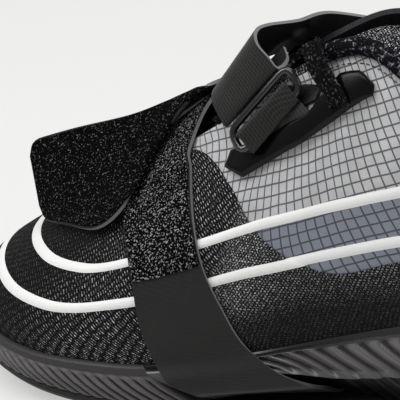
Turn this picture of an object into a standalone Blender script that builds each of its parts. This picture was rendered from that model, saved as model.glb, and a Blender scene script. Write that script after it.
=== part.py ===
"""Weightlifting shoe for a left foot: raised heel, two hook-and-loop straps, laced throat.

Units are metres, +Z is up, the toe points to -X and the outer (lateral) side to -Y.
The origin is on the floor plane, under the middle of the heel.
"""

import math

import bmesh
import bpy
import numpy as np

for old in list(bpy.data.objects):
    bpy.data.objects.remove(old)
bpy.context.scene.unit_settings.system = "METRIC"

# Driving sizes of the shoe
SHOE_LENGTH = 0.290
BALL_WIDTH = 0.096
HEEL_SETBACK = 0.045
FOREFOOT_RISE = 0.0205
HEEL_RISE = 0.047
COLLAR_HEIGHT = 0.132
TOE_SPRING = 0.011
SPRING_START = 0.72
SPRING_CURVE = 1.7
UPPER_WALL = 0.0022
CLEARANCE = 0.0003

# Sole: outsole plate, its waist and grooves, and the seat for upper and insole
SOLE_FLARE = 0.005
TREAD_THICKNESS = 0.006
TREAD_INSET = 0.0024
SEAT_LEDGE = 0.0032
SEAT_CLEARANCE = 0.0004
SEAT_DEPTH = 0.005
INSOLE_THICKNESS = 0.004
INSOLE_CLEARANCE = 0.0005
WAIST_ARCH = 0.0022
WAIST_DEPTH = 0.010
WAIST_MIDDLE = 0.53
WAIST_SPAN = 0.12
ARCH_CROWN = 0.585
ARCH_SPAN = 0.075
ARCH_RISE = 1.4
GROOVE_WIDTH = 0.0022
GROOVE_DEPTH = 0.0016
HEEL_GROOVES = (0.055, 0.095, 0.135, 0.175, 0.215, 0.255, 0.295)
FOREFOOT_GROOVES = (0.665, 0.70, 0.735, 0.77, 0.805, 0.84, 0.875)

# Joint between heel wedge and forefoot cup, where it meets the outsole and the upper
JOINT_LOW = 0.640
JOINT_HIGH = 0.715
TOE_BLEND = 0.012
HEEL_BLEND = 0.040

# Sidewalls, from the bottom: share of the height, outset, relief, slant towards the heel, tuck at the waist
RIB_DEPTH = 0.0016
CUP_COLUMNS = 92
CUP_LEVELS = (
    (0.00, 0.0042, 0.3, 0.0080, 0.0),
    (0.05, 0.0050, 1.0, 0.0075, 0.0),
    (0.35, 0.0050, 1.0, 0.0045, 0.0),
    (0.65, 0.0042, 0.8, 0.0015, 0.0),
    (0.76, 0.0032, 0.0, 0.0000, 0.0),
    (0.80, 0.0034, 0.0, 0.0000, 0.0),
    (0.97, 0.0020, 0.0, 0.0000, 0.0),
    (1.00, 0.0012, 0.0, 0.0000, 0.0),
)
FLUTE_DEPTH = 0.0022
WEDGE_COLUMNS = 62
WEDGE_LEVELS = (
    (0.00, 0.0050, 0.0, 0.0160, 1.0),
    (0.36, 0.0052, 0.3, 0.0130, 1.0),
    (0.40, 0.0052, 0.6, 0.0120, 0.0),
    (0.60, 0.0048, 1.0, 0.0060, 0.0),
    (0.76, 0.0040, 1.0, 0.0020, 0.0),
    (0.86, 0.0024, 0.0, 0.0000, 0.0),
    (0.97, 0.0016, 0.0, 0.0000, 0.0),
    (1.00, 0.0010, 0.0, 0.0000, 0.0),
)

# Upper: step of the lower layer, collar binding, tongue and lace
LAYER_STEP = 0.0008
LAYER_RUN = 0.02
RIM_WIDTH = 0.0065
RIM_HEIGHT = 0.0065
RIM_SEAT = 0.0008
RIM_START = 6.4
RIM_END = 19.6
TONGUE_THICKNESS = 0.0040
TONGUE_FOOT = 11.2
TONGUE_TOP = 6.5
TONGUE_T = 0.955
TONGUE_OUTSET = -0.0062
TONGUE_CROWN = 0.0042
TONGUE_REACH = 0.016
TONGUE_NARROWING = 0.06
LACE_WIDTH = 0.0045
LACE_HEIGHT = 0.0018
LACE_LIFT = 0.0015
LACE_FOOT = 8.7
LACE_TOP = 7.0
LACE_CROSSINGS = 4

# Straps, rings and their webbing
STRAP_THICKNESS = 0.0013
STRAP_OUTSET = 0.0023
RETURN_OUTSETS = (0.0092, 0.0078, 0.0069)
WIRE_RADIUS = 0.0014
RING_ENDS = 0.0036
CORNER_PULL = 0.3
TAB_THICKNESS = 0.0011
BASE_THICKNESS = 0.0026
BASE_COLUMNS = 6
# Foot of the front strap on the sole's side: stations of its edges, share of height, outset, tuck
FRONT_FOOT = (
    (7.36, 5.95, 0.10, 0.0084, 1.0),
    (7.42, 6.05, 0.24, 0.0086, 0.6),
    (7.58, 6.22, 0.42, 0.0082, 0.0),
    (7.88, 6.58, 0.72, 0.0076, 0.0),
)
# Front strap over the upper: station and t of its toe edge and of its heel edge, from the sole up
FRONT_FOLDS = (
    (8.10, 0.050, 6.95, 0.050),
    (8.35, 0.200, 7.25, 0.200),
    (8.70, 0.370, 7.70, 0.380),
    (9.25, 0.550, 8.12, 0.550),
    (9.85, 0.700, 8.50, 0.700),
    (10.40, 0.820, 8.82, 0.830),
    (11.10, 0.930, 9.12, 0.950),
)
# Free end of the front strap: (along, across, up) of its lower edge and of its upper edge
FLAP_FOLDS = (
    ((0.722, 0.020, 0.715), (0.648, 0.020, 0.830)),
    ((0.728, -0.120, 0.655), (0.680, 0.030, 0.800)),
    ((0.738, -0.230, 0.580), (0.718, 0.040, 0.760)),
    ((0.779, -0.205, 0.535), (0.766, 0.020, 0.722)),
    ((0.838, -0.135, 0.490), (0.842, 0.010, 0.680)),
    ((0.888, -0.065, 0.450), (0.912, 0.020, 0.630)),
)
# Rear strap up the inner side: station and t of its toe edge and of its heel edge, then over the
# instep, round its ring and back inside
REAR_ANCHOR = (
    (18.45, 0.460, 19.65, 0.490),
    (18.25, 0.650, 19.50, 0.690),
    (18.00, 0.800, 19.30, 0.830),
)
REAR_FOLDS = (
    ((0.585, 0.205, 0.868), (0.503, 0.225, 0.985)),
    ((0.610, 0.073, 0.850), (0.538, 0.083, 1.000)),
    ((0.628, -0.062, 0.850), (0.562, -0.042, 1.022)),
    ((0.626, -0.167, 0.858), (0.565, -0.146, 1.034)),
    ((0.617, -0.240, 0.845), (0.557, -0.219, 1.020)),
    ((0.605, -0.285, 0.824), (0.540, -0.255, 0.992)),
    ((0.597, -0.300, 0.806), (0.528, -0.262, 0.965)),
)
REAR_INNER_FOLDS = (
    ((0.592, -0.245, 0.826), (0.524, -0.190, 0.968)),
    ((0.600, -0.180, 0.838), (0.534, -0.125, 0.984)),
    ((0.607, -0.110, 0.846), (0.546, -0.060, 0.990)),
)
# Where the front strap crosses the top of the instep, and how it turns round the inner ring
CREST_ROW = ((0.722, 0.040, 0.668), (0.648, 0.040, 0.792))
TURN_STEPS = ((0.020, 0.0008), (0.034, 0.0030), (0.034, 0.0052), (0.014, 0.0072))
# Ring of the rear strap: lower bar and upper bar, each from its toe end to its heel end
REAR_RING = (
    ((0.569, -0.396, 0.760), (0.493, -0.285, 0.932)),
    ((0.586, -0.350, 0.806), (0.512, -0.262, 0.984)),
)
# Webbing of the rear ring: stations of its edges, then t at each edge and outset, outside and behind
REAR_TAB_STATIONS = (7.75, 6.85)
REAR_TAB_OUTER = ((0.838, 0.858, 0.0030),)
REAR_TAB_INNER = ((0.870, 0.900, 0.0015),)
TAB_TURN = (-30, 6, 42, 78, 114, 150)
REAR_TAB_INSET = 0.0060
FRONT_TAB_INSET = 0.0085
TAB_NARROWING = 0.25
# Inner ring of the front strap: stations of its ends, then t and outset of its lower and upper bar
FRONT_RING_STATIONS = (16.55, 18.05)
FRONT_RING_BARS = ((0.425, 0.0050), (0.545, 0.0060))
FRONT_TAB_OUTER = ((0.040, 0.0030), (0.180, 0.0032), (0.330, 0.0036))
FRONT_TAB_INNER = ((0.340, 0.0018), (0.190, 0.0015), (0.050, 0.0015))
# Flat lace strip over the base plate: station, t and outset of its middle
LACE_STRIP_HALF = 0.115
LACE_STRIP_THICKNESS = 0.0013
LACE_STRIP = (
    (6.78, 0.975, 0.0020),
    (6.62, 0.935, 0.0050),
    (6.48, 0.885, 0.0062),
    (6.34, 0.835, 0.0056),
    (6.24, 0.790, 0.0050),
)
# Hard base plate on the quarter: station, lower t, upper t
BASE_FOLDS = (
    (8.06, 0.755, 0.820),
    (7.65, 0.675, 0.785),
    (7.20, 0.685, 0.790),
    (6.75, 0.705, 0.815),
    (6.35, 0.745, 0.925),
    (6.05, 0.795, 0.930),
    (5.80, 0.845, 0.890),
)

# One row for each section round the shoe, from the heel over the outer side to the toe and back.
# along and top_along are shares of SHOE_LENGTH from the heel, across and top_across of BALL_WIDTH.
# lift is the share of the way from FOREFOOT_RISE to HEEL_RISE, and top_up the share of COLLAR_HEIGHT.
# rise, bulge, reach and drop shape the wall between its foot and its top, as shares of COLLAR_HEIGHT.
# layer is the share of the wall that the lower layer covers.
SECTION_COLUMNS = (
    "along", "across", "lift", "top_along", "top_across", "top_up", "rise", "bulge", "reach", "drop", "layer",
)
SECTIONS = (
    (0.000, 0.000, 1.000, 0.022, 0.000, 0.845, 0.150, 0.050, 0.030, 0.170, 0.340),
    (0.018, -0.170, 0.995, 0.040, -0.150, 0.830, 0.150, 0.045, 0.025, 0.160, 0.340),
    (0.062, -0.300, 0.970, 0.085, -0.255, 0.785, 0.150, 0.030, 0.020, 0.150, 0.330),
    (0.150, -0.365, 0.900, 0.160, -0.320, 0.745, 0.150, 0.020, 0.020, 0.130, 0.320),
    (0.270, -0.375, 0.780, 0.260, -0.340, 0.780, 0.170, 0.015, 0.030, 0.120, 0.310),
    (0.380, -0.380, 0.620, 0.345, -0.315, 0.905, 0.200, 0.020, 0.060, 0.130, 0.285),
    (0.480, -0.405, 0.400, 0.420, -0.235, 0.995, 0.230, 0.025, 0.120, 0.130, 0.245),
    (0.590, -0.455, 0.160, 0.500, -0.195, 0.935, 0.230, 0.025, 0.150, 0.130, 0.420),
    (0.690, -0.500, 0.020, 0.580, -0.165, 0.825, 0.200, 0.025, 0.170, 0.140, 0.710),
    (0.780, -0.505, -0.030, 0.650, -0.125, 0.725, 0.170, 0.025, 0.190, 0.155, 0.930),
    (0.870, -0.455, -0.130, 0.695, -0.085, 0.660, 0.140, 0.025, 0.230, 0.180, 0.950),
    (0.940, -0.325, -0.215, 0.715, -0.045, 0.635, 0.125, 0.025, 0.270, 0.205, 0.950),
    (0.985, -0.120, -0.270, 0.722, 0.000, 0.628, 0.120, 0.025, 0.295, 0.215, 0.950),
    (1.000, 0.100, -0.280, 0.724, 0.040, 0.628, 0.120, 0.025, 0.300, 0.220, 0.950),
    (0.975, 0.290, -0.260, 0.718, 0.080, 0.633, 0.125, 0.025, 0.285, 0.215, 0.950),
    (0.910, 0.420, -0.190, 0.698, 0.125, 0.655, 0.145, 0.025, 0.240, 0.190, 0.950),
    (0.820, 0.475, -0.080, 0.650, 0.165, 0.725, 0.175, 0.025, 0.195, 0.165, 0.950),
    (0.720, 0.465, 0.010, 0.585, 0.195, 0.825, 0.210, 0.020, 0.160, 0.150, 0.930),
    (0.610, 0.410, 0.130, 0.505, 0.215, 0.935, 0.240, 0.010, 0.140, 0.140, 0.710),
    (0.500, 0.350, 0.360, 0.425, 0.250, 0.995, 0.240, 0.010, 0.110, 0.140, 0.420),
    (0.390, 0.335, 0.600, 0.345, 0.320, 0.920, 0.200, 0.015, 0.060, 0.135, 0.250),
    (0.270, 0.350, 0.780, 0.260, 0.345, 0.800, 0.170, 0.020, 0.030, 0.125, 0.290),
    (0.150, 0.355, 0.900, 0.160, 0.320, 0.765, 0.150, 0.020, 0.020, 0.130, 0.310),
    (0.062, 0.295, 0.970, 0.085, 0.255, 0.795, 0.150, 0.030, 0.020, 0.150, 0.330),
    (0.018, 0.170, 0.995, 0.040, 0.150, 0.832, 0.150, 0.045, 0.025, 0.160, 0.340),
)
TOE_SECTION = 13
# Steps in station and t over which slopes are taken
STATION_STEP = 0.02
T_STEP = 0.01

# Columns on each side of the outsole, insole and upper, and sides of a round tube
OUTSOLE_COLUMNS = 40
INSOLE_COLUMNS = 24
UPPER_COLUMNS = 34
TUBE_SIDES = 8


def section_at(column, station):
    """A column of SECTIONS, read at stations counted in rows, on a closed smooth curve."""
    values = np.array([row[SECTION_COLUMNS.index(column)] for row in SECTIONS])
    station = np.mod(np.asarray(station, float), len(values))
    row = np.floor(station).astype(int)
    t = station - row
    before, start, end, after = (values[(row + k) % len(values)] for k in (-1, 0, 1, 2))
    leaving, arriving = (end - before) / 2, (after - start) / 2
    return (
        start * (2 * t**3 - 3 * t**2 + 1)
        + leaving * (t**3 - 2 * t**2 + t)
        + end * (3 * t**2 - 2 * t**3)
        + arriving * (t**3 - t**2)
    )


def share_to_x(share):
    """Where a share of the shoe's length from the heel lies on X."""
    return HEEL_SETBACK - share * SHOE_LENGTH


def spring(share):
    """How far the sole has curled up from the floor at a share of the length from the heel."""
    curl = np.clip((share - SPRING_START) / (1 - SPRING_START), 0, None)
    return TOE_SPRING * curl**SPRING_CURVE


def plan(station):
    """X and Y of the line where upper and sole meet."""
    return np.stack(
        [share_to_x(section_at("along", station)), section_at("across", station) * BALL_WIDTH], axis=-1
    )


def outward(station):
    """Unit vector in plan that points out of the shoe at a station."""
    station = np.asarray(station)
    run = plan(station + STATION_STEP) - plan(station - STATION_STEP)
    out = np.stack([run[..., 1], -run[..., 0]], axis=-1)
    return -out / np.linalg.norm(out, axis=-1, keepdims=True)


def bite(station):
    """Height of the line where the upper leaves the sole."""
    rise = FOREFOOT_RISE + section_at("lift", station) * (HEEL_RISE - FOREFOOT_RISE)
    return rise + spring(section_at("along", station))


def ring(station, outset, height):
    """Points on the sole's outline, moved out by outset, at a height."""
    spot = plan(station) + outward(station) * np.asarray(outset)[..., None]
    return np.concatenate([spot, np.broadcast_to(height, spot.shape[:-1])[..., None]], axis=-1)


def upper_point(station, t, outset=0.0):
    """A point of the upper's outer face: t runs from 0 at the sole to 1 at the collar or throat edge."""
    station, t = np.broadcast_arrays(np.asarray(station, float), np.asarray(t, float))
    out = np.concatenate([outward(station), np.zeros(station.shape + (1,))], axis=-1)
    up = np.zeros_like(out)
    up[..., 2] = 1
    foot = ring(station, 0.0, bite(station))
    top = np.stack(
        [
            share_to_x(section_at("top_along", station)),
            section_at("top_across", station) * BALL_WIDTH,
            section_at("top_up", station) * COLLAR_HEIGHT,
        ],
        axis=-1,
    )

    def handle(name):
        return section_at(name, station)[..., None] * COLLAR_HEIGHT

    low = foot + up * handle("rise") + out * handle("bulge")
    high = top + out * handle("reach") - up * handle("drop")
    t = t[..., None]
    spot = foot * (1 - t) ** 3 + low * 3 * t * (1 - t) ** 2 + high * 3 * t**2 * (1 - t) + top * t**3
    if np.any(outset):
        spot = spot + upper_normal(station, t[..., 0]) * np.asarray(outset)[..., None]
    return spot


def upper_normal(station, t):
    """Unit vector out of the upper's outer face."""
    along = upper_point(station + STATION_STEP, t) - upper_point(station - STATION_STEP, t)
    above, below = np.clip(t + T_STEP, 0, 1), np.clip(t - T_STEP, 0, 1)
    rising = upper_point(station, above) - upper_point(station, below)
    normal = np.cross(rising, along)
    return normal / np.linalg.norm(normal, axis=-1, keepdims=True)


def to_point(place):
    """A row of (share of length from the heel, share of ball width, share of collar height) as X, Y, Z."""
    along, across, up = place
    return np.array([share_to_x(along), across * BALL_WIDTH, up * COLLAR_HEIGHT])


def smooth_rows(rows, steps):
    """More rows between the given ones, on a smooth curve through them."""
    rows = np.asarray(rows, float)
    ends = np.concatenate([[2 * rows[0] - rows[1]], rows, [2 * rows[-1] - rows[-2]]])
    result = []
    for k in range(len(rows) - 1):
        before, start, end, after = ends[k : k + 4]
        for t in np.arange(steps) / steps:
            result.append(
                start * (2 * t**3 - 3 * t**2 + 1)
                + (end - before) / 2 * (t**3 - 2 * t**2 + t)
                + end * (3 * t**2 - 2 * t**3)
                + (after - start) / 2 * (t**3 - t**2)
            )
    result.append(rows[-1])
    return np.array(result)


def material(name, color, roughness, metallic=0.0):
    made = bpy.data.materials.new(name)
    made.use_nodes = True
    shader = made.node_tree.nodes["Principled BSDF"]
    shader.inputs["Base Color"].default_value = (*color, 1)
    shader.inputs["Roughness"].default_value = roughness
    shader.inputs["Metallic"].default_value = metallic
    made.diffuse_color = (*color, 1)
    return made


def add_object(name, points, faces, made_of):
    """One closed body with its faces pointing out."""
    mesh = bpy.data.meshes.new(name)
    mesh.from_pydata([tuple(p) for p in points], [], faces)
    work = bmesh.new()
    work.from_mesh(mesh)
    bmesh.ops.recalc_face_normals(work, faces=work.faces)
    bmesh.ops.triangulate(work, faces=work.faces)
    work.to_mesh(mesh)
    work.free()
    mesh.shade_smooth()
    mesh.set_sharp_from_angle(angle=math.radians(35))
    made = bpy.data.objects.new(name, mesh)
    bpy.context.scene.collection.objects.link(made)
    made.data.materials.append(made_of)
    return made


def loop_faces(loops, count):
    """Quads between each loop and the next."""
    return [
        (a * count + i, a * count + (i + 1) % count, (a + 1) * count + (i + 1) % count, (a + 1) * count + i)
        for a in range(loops - 1)
        for i in range(count)
    ]


def strip_cap(first, count):
    """A cap of cross strips, from the loop's first point to the point opposite."""
    faces = []
    for i in range(count // 2):
        near, far = (first + i, first + i + 1), (first + count - i - 1, first + (count - i) % count)
        corners = [near[0], near[1], far[0], far[1]]
        kept = [c for k, c in enumerate(corners) if c not in corners[:k]]
        faces.append(tuple(kept))
    return [face for face in faces if len(face) > 2]


def stacked_solid(name, loops, made_of):
    """A solid through level loops, from the lowest to the highest, closed by a cap at each end."""
    loops = np.asarray(loops)
    count = loops.shape[1]
    faces = loop_faces(len(loops), count)
    faces += strip_cap(0, count) + strip_cap((len(loops) - 1) * count, count)
    return add_object(name, loops.reshape(-1, 3), faces, made_of)


def wall_solid(name, loops, made_of):
    """A wall round an opening: the last loop joins the first."""
    loops = np.asarray(loops)
    count = loops.shape[1]
    faces = loop_faces(len(loops), count)
    last = (len(loops) - 1) * count
    faces += [(last + i, last + (i + 1) % count, (i + 1) % count, i) for i in range(count)]
    return add_object(name, loops.reshape(-1, 3), faces, made_of)


def slab_solid(name, front, back, made_of):
    """A solid between a front and a back grid of the same rows and columns."""
    rows, columns = front.shape[:2]
    points = np.concatenate([front.reshape(-1, 3), back.reshape(-1, 3)])
    behind = rows * columns
    faces = []
    for r in range(rows - 1):
        for c in range(columns - 1):
            a = r * columns + c
            quad = (a, a + 1, a + columns + 1, a + columns)
            faces += [quad, tuple(behind + i for i in quad)]
    rim = [c for c in range(columns)]
    rim += [r * columns + columns - 1 for r in range(1, rows)]
    rim += [(rows - 1) * columns + c for c in range(columns - 2, -1, -1)]
    rim += [r * columns for r in range(rows - 2, 0, -1)]
    for a, b in zip(rim, rim[1:] + rim[:1]):
        faces.append((a, b, behind + b, behind + a))
    return add_object(name, points, faces, made_of)


def grid_normal(grid):
    """Unit normals of a grid of points, square to the mean of the runs before and after each row."""
    run = np.diff(grid, axis=0)
    run /= np.linalg.norm(run, axis=-1, keepdims=True)
    tangent = np.concatenate([run[:1], run[:-1] + run[1:], run[-1:]])
    normal = np.cross(tangent, np.gradient(grid, axis=1))
    return normal / np.linalg.norm(normal, axis=-1, keepdims=True)


def ribbon_solid(name, rows, thickness, made_of):
    """A flat band of even thickness about a grid of points."""
    rows = np.asarray(rows)
    half = grid_normal(rows) * thickness / 2
    return slab_solid(name, rows + half, rows - half, made_of)


def tube_solid(name, path, radii, up, sides, made_of, closed=False):
    """An oval tube along a path; radii is half its width and half its height along up."""
    path, up = np.asarray(path), np.asarray(up, float)
    if closed:
        run = np.roll(path, -1, axis=0) - np.roll(path, 1, axis=0)
    else:
        run = np.gradient(path, axis=0)
    run /= np.linalg.norm(run, axis=1, keepdims=True)
    side = np.cross(run, up)
    side /= np.linalg.norm(side, axis=1, keepdims=True)
    top = np.cross(side, run)
    angles = np.arange(sides) * 2 * math.pi / sides
    rings = (
        path[:, None]
        + side[:, None] * radii[0] * np.cos(angles)[None, :, None]
        + top[:, None] * radii[1] * np.sin(angles)[None, :, None]
    )
    faces = loop_faces(len(path), sides)
    last = (len(path) - 1) * sides
    if closed:
        faces += [(last + i, last + (i + 1) % sides, (i + 1) % sides, i) for i in range(sides)]
    else:
        faces += [tuple(range(sides)), tuple(range(last, last + sides))]
    return add_object(name, rings.reshape(-1, 3), faces, made_of)


def cut(target, cutter):
    """Takes the cutter's volume out of the target, and the cutter out of the scene."""
    modifier = target.modifiers.new("cut", "BOOLEAN")
    modifier.operation = "DIFFERENCE"
    modifier.solver = "EXACT"
    modifier.object = cutter
    bpy.context.view_layer.update()
    graph = bpy.context.evaluated_depsgraph_get()
    result = bpy.data.meshes.new_from_object(target.evaluated_get(graph))
    target.modifiers.remove(modifier)
    target.data = result
    bpy.data.objects.remove(cutter)


# Where stations lie along the outline, as lengths from the toe
OUTLINE_STATIONS = np.linspace(0, len(SECTIONS), 2001)
OUTLINE_STEPS = np.linalg.norm(np.diff(plan(OUTLINE_STATIONS), axis=0), axis=1)
OUTLINE_LENGTHS = np.concatenate([[0], np.cumsum(OUTLINE_STEPS)])
TOE_LENGTH = np.interp(TOE_SECTION, OUTLINE_STATIONS, OUTLINE_LENGTHS)


def station_at(length):
    """The station at a length along the outline from the toe: outer side negative, inner positive."""
    return np.interp(np.asarray(length) + TOE_LENGTH, OUTLINE_LENGTHS, OUTLINE_STATIONS)


def columns_of(per_side):
    """Evenly spaced lengths round the whole outline, as many on each side, from the heel."""
    outer = np.linspace(-TOE_LENGTH, 0, per_side + 1)
    inner = np.linspace(0, OUTLINE_LENGTHS[-1] - TOE_LENGTH, per_side + 1)
    return np.concatenate([outer, inner[1:-1]])


def tread_top(station):
    """Top face of the outsole."""
    return TREAD_THICKNESS + spring(section_at("along", station))


def swept(lengths, slant):
    """Moves columns towards the heel by slant, and leaves the toe's tip where it is."""
    reach = np.where(lengths < 0, TOE_LENGTH, OUTLINE_LENGTHS[-1] - TOE_LENGTH)
    left = (reach - np.abs(lengths)) / HEEL_BLEND
    return lengths + slant * np.tanh(lengths / TOE_BLEND) * np.tanh(left) ** 2


def waist_at(station):
    """How far a station is in the waist, from 0 to 1."""
    return np.exp(-(((section_at("along", station) - WAIST_MIDDLE) / WAIST_SPAN) ** 4))


def side_wall(name, per_side, levels, relief_depth, made_of):
    """Sidewall of a sole piece over its levels, with the hollow under the waist's lower edge."""
    lengths = columns_of(per_side)
    ridge = (np.arange(len(lengths)) % 2) * 2 - 1
    loops = []
    for share, outset, relief, slant, tucked in levels:
        station = station_at(swept(lengths, slant))
        low = tread_top(station) + CLEARANCE
        high = bite(station) - CLEARANCE
        crown = np.exp(-(((section_at("along", station) - ARCH_CROWN) / ARCH_SPAN) ** 2))
        raised = share ** (1 / (1 + ARCH_RISE * crown))
        out = outset + ridge * relief * relief_depth / 2 - tucked * waist_at(station) * WAIST_DEPTH
        loops.append(ring(station, out, low + raised * (high - low)))
    station = station_at(lengths)
    seat = bite(station) - CLEARANCE
    loops.append(ring(station, -SEAT_LEDGE, seat))
    loops.append(ring(station, -SEAT_LEDGE - SEAT_CLEARANCE, seat - SEAT_DEPTH))
    return stacked_solid(name, loops, made_of)


def slanted_block(name, shift, forward):
    """Everything behind, or in front of, the slanted joint between heel wedge and forefoot cup."""
    low_x = share_to_x(JOINT_LOW) + shift
    high_x = share_to_x(JOINT_HIGH) + shift
    slope = (high_x - low_x) / (FOREFOOT_RISE - TREAD_THICKNESS)
    bottom, top = -HEEL_RISE, COLLAR_HEIGHT
    x_bottom = low_x + slope * (bottom - TREAD_THICKNESS)
    x_top = low_x + slope * (top - TREAD_THICKNESS)
    far = -2 * SHOE_LENGTH if forward else 2 * SHOE_LENGTH
    wide = 2 * BALL_WIDTH
    points = [
        (x, y, z)
        for z, edge in ((bottom, x_bottom), (top, x_top))
        for x, y in ((edge, -wide), (edge, wide), (edge + far, wide), (edge + far, -wide))
    ]
    faces = [(0, 1, 2, 3), (4, 5, 6, 7), (0, 1, 5, 4), (1, 2, 6, 5), (2, 3, 7, 6), (3, 0, 4, 7)]
    return add_object(name, points, faces, RUBBER)


def make_outsole():
    """Rubber plate with flat heel and forefoot faces, an arched waist and cross grooves."""
    station = station_at(columns_of(OUTSOLE_COLUMNS))
    floor = spring(section_at("along", station)) + WAIST_ARCH * waist_at(station)
    top = tread_top(station)
    plate = stacked_solid(
        "outsole",
        [
            ring(station, SOLE_FLARE - TREAD_INSET, floor),
            ring(station, SOLE_FLARE - TREAD_INSET / 2, floor + TREAD_THICKNESS / 4),
            ring(station, SOLE_FLARE - TREAD_INSET / 2, top),
        ],
        RUBBER,
    )
    points, faces = [], []
    box = ((0, 1, 3, 2), (4, 5, 7, 6), (0, 1, 5, 4), (2, 3, 7, 6), (0, 2, 6, 4), (1, 3, 7, 5))
    for share in HEEL_GROOVES + FOREFOOT_GROOVES:
        middle, level = share_to_x(share), spring(share)
        start = len(points)
        points += [
            (middle + x * GROOVE_WIDTH / 2, y * BALL_WIDTH, z)
            for x in (-1, 1)
            for y in (-1, 1)
            for z in (level - 2 * GROOVE_DEPTH, level + GROOVE_DEPTH)
        ]
        faces += [tuple(start + i for i in face) for face in box]
    cut(plate, add_object("groove cutter", points, faces, RUBBER))


def make_sole_sides():
    """Ribbed rubber cup round the forefoot, and the hard fluted wedge under the heel."""
    cup = side_wall("forefoot_cup", CUP_COLUMNS, CUP_LEVELS, RIB_DEPTH, CUP_RUBBER)
    cut(cup, slanted_block("behind the joint", -CLEARANCE / 2, False))
    wedge = side_wall("heel_midsole", WEDGE_COLUMNS, WEDGE_LEVELS, FLUTE_DEPTH, HARD_PLASTIC)
    cut(wedge, slanted_block("in front of the joint", CLEARANCE / 2, True))


def make_insole():
    """Foam sheet in the seat of the sole."""
    station = station_at(columns_of(INSOLE_COLUMNS))
    inset = -SEAT_LEDGE - SEAT_CLEARANCE - INSOLE_CLEARANCE
    floor = bite(station) - CLEARANCE - SEAT_DEPTH + INSOLE_CLEARANCE
    stacked_solid(
        "insole",
        [ring(station, inset, floor), ring(station, inset, floor + INSOLE_THICKNESS)],
        FOAM,
    )


def make_upper():
    """Hollow shell: the lower layer stands proud of the quarter, and its edge is a step."""
    station = station_at(columns_of(UPPER_COLUMNS))
    edge = section_at("layer", station)
    loops = []
    for share in np.linspace(0, 1, 6):
        loops.append(upper_point(station, edge * share, LAYER_STEP))
    for share in np.linspace(LAYER_RUN, 1, 6):
        loops.append(upper_point(station, edge + (1 - edge) * share, 0.0))
    for t in np.linspace(1, 0, 7):
        loops.append(upper_point(station, np.full_like(station, t), -UPPER_WALL))
    wall_solid("upper", loops, MESH_CLOTH)


def make_collar_rim():
    """Braided binding on the collar's edge, open at the throat."""
    station = np.concatenate([np.linspace(RIM_START, 0, 17), np.linspace(len(SECTIONS), RIM_END, 17)[1:]])
    path = upper_point(station, np.ones_like(station), -UPPER_WALL / 2)
    run = np.gradient(path, axis=0)
    run /= np.linalg.norm(run, axis=1, keepdims=True)
    top = np.array([0, 0, 1]) - run * run[:, 2:]
    top /= np.linalg.norm(top, axis=1, keepdims=True)
    path += top * (RIM_HEIGHT / 2 + RIM_SEAT)
    tube_solid("collar_rim", path, (RIM_WIDTH / 2, RIM_HEIGHT / 2), (0, 0, 1), TUBE_SIDES, BRAID)


def throat_rows(stations, t, outset, crown, columns):
    """Rows across the throat, from the outer to the inner side, raised by crown in the middle."""
    rows = []
    for station in stations:
        outer = upper_point(station, t, outset)
        inner = upper_point(2 * TOE_SECTION - station, t, outset)
        share = np.linspace(0, 1, columns)[:, None]
        row = outer + (inner - outer) * share
        row[:, 2] += crown * np.sin(math.pi * share[:, 0])
        rows.append(row)
    return np.array(rows)


def make_tongue():
    """Padded tongue under the throat, with its top above the collar."""
    rows = throat_rows(np.linspace(TONGUE_FOOT, TONGUE_TOP, 9), TONGUE_T, TONGUE_OUTSET, TONGUE_CROWN, 7)
    rise = rows[-1].mean(axis=0) - rows[-2].mean(axis=0)
    rise /= np.linalg.norm(rise)
    for step in (1, 2):
        grown = rows[-1] + rise * TONGUE_REACH / 2
        grown[:, 1] = grown[:, 1].mean() + (grown[:, 1] - grown[:, 1].mean()) * (1 - TONGUE_NARROWING * step)
        rows = np.concatenate([rows, grown[None]])
    ribbon_solid("tongue", rows, TONGUE_THICKNESS, KNIT)


def make_lace():
    """Lace that crosses the throat from side to side, clear of tongue and upper."""
    points = []
    for k, station in enumerate(np.linspace(LACE_FOOT, LACE_TOP, LACE_CROSSINGS + 1)):
        side = station if k % 2 == 0 else 2 * TOE_SECTION - station
        spot = upper_point(side, 1.0)
        points.append(spot + np.array([0, 0, LACE_LIFT]))
    path = smooth_rows(np.array(points), 5)
    tube_solid("lace", path, (LACE_WIDTH / 2, LACE_HEIGHT / 2), (0, 0, 1), 6, LACE_CLOTH)


def surface_row(toe_edge, heel_edge, outset, columns):
    """A row across a strap on the upper, between two places given as (station, t)."""
    share = np.linspace(0, 1, columns)
    station = toe_edge[0] + (heel_edge[0] - toe_edge[0]) * share
    t = toe_edge[1] + (heel_edge[1] - toe_edge[1]) * share
    return upper_point(station, t, outset)


def free_row(toe_edge, heel_edge, columns):
    """A row across a strap in the air, between two places given as shares of the shoe's sizes."""
    share = np.linspace(0, 1, columns)[:, None]
    return to_point(toe_edge) * (1 - share) + to_point(heel_edge) * share


def ring_path(ends, bar_rows):
    """Rounded rectangle round two long bars, each given by its two ends."""
    (a, b), (c, d) = bar_rows
    corners = [a, b, d, c]
    path = []
    for k, corner in enumerate(corners):
        before, after = corners[k - 1], corners[(k + 1) % 4]
        into = (before - corner) / np.linalg.norm(before - corner)
        out = (after - corner) / np.linalg.norm(after - corner)
        path += [corner + into * ends, corner + (into + out) * ends * CORNER_PULL, corner + out * ends]
    return np.array(path)


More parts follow.
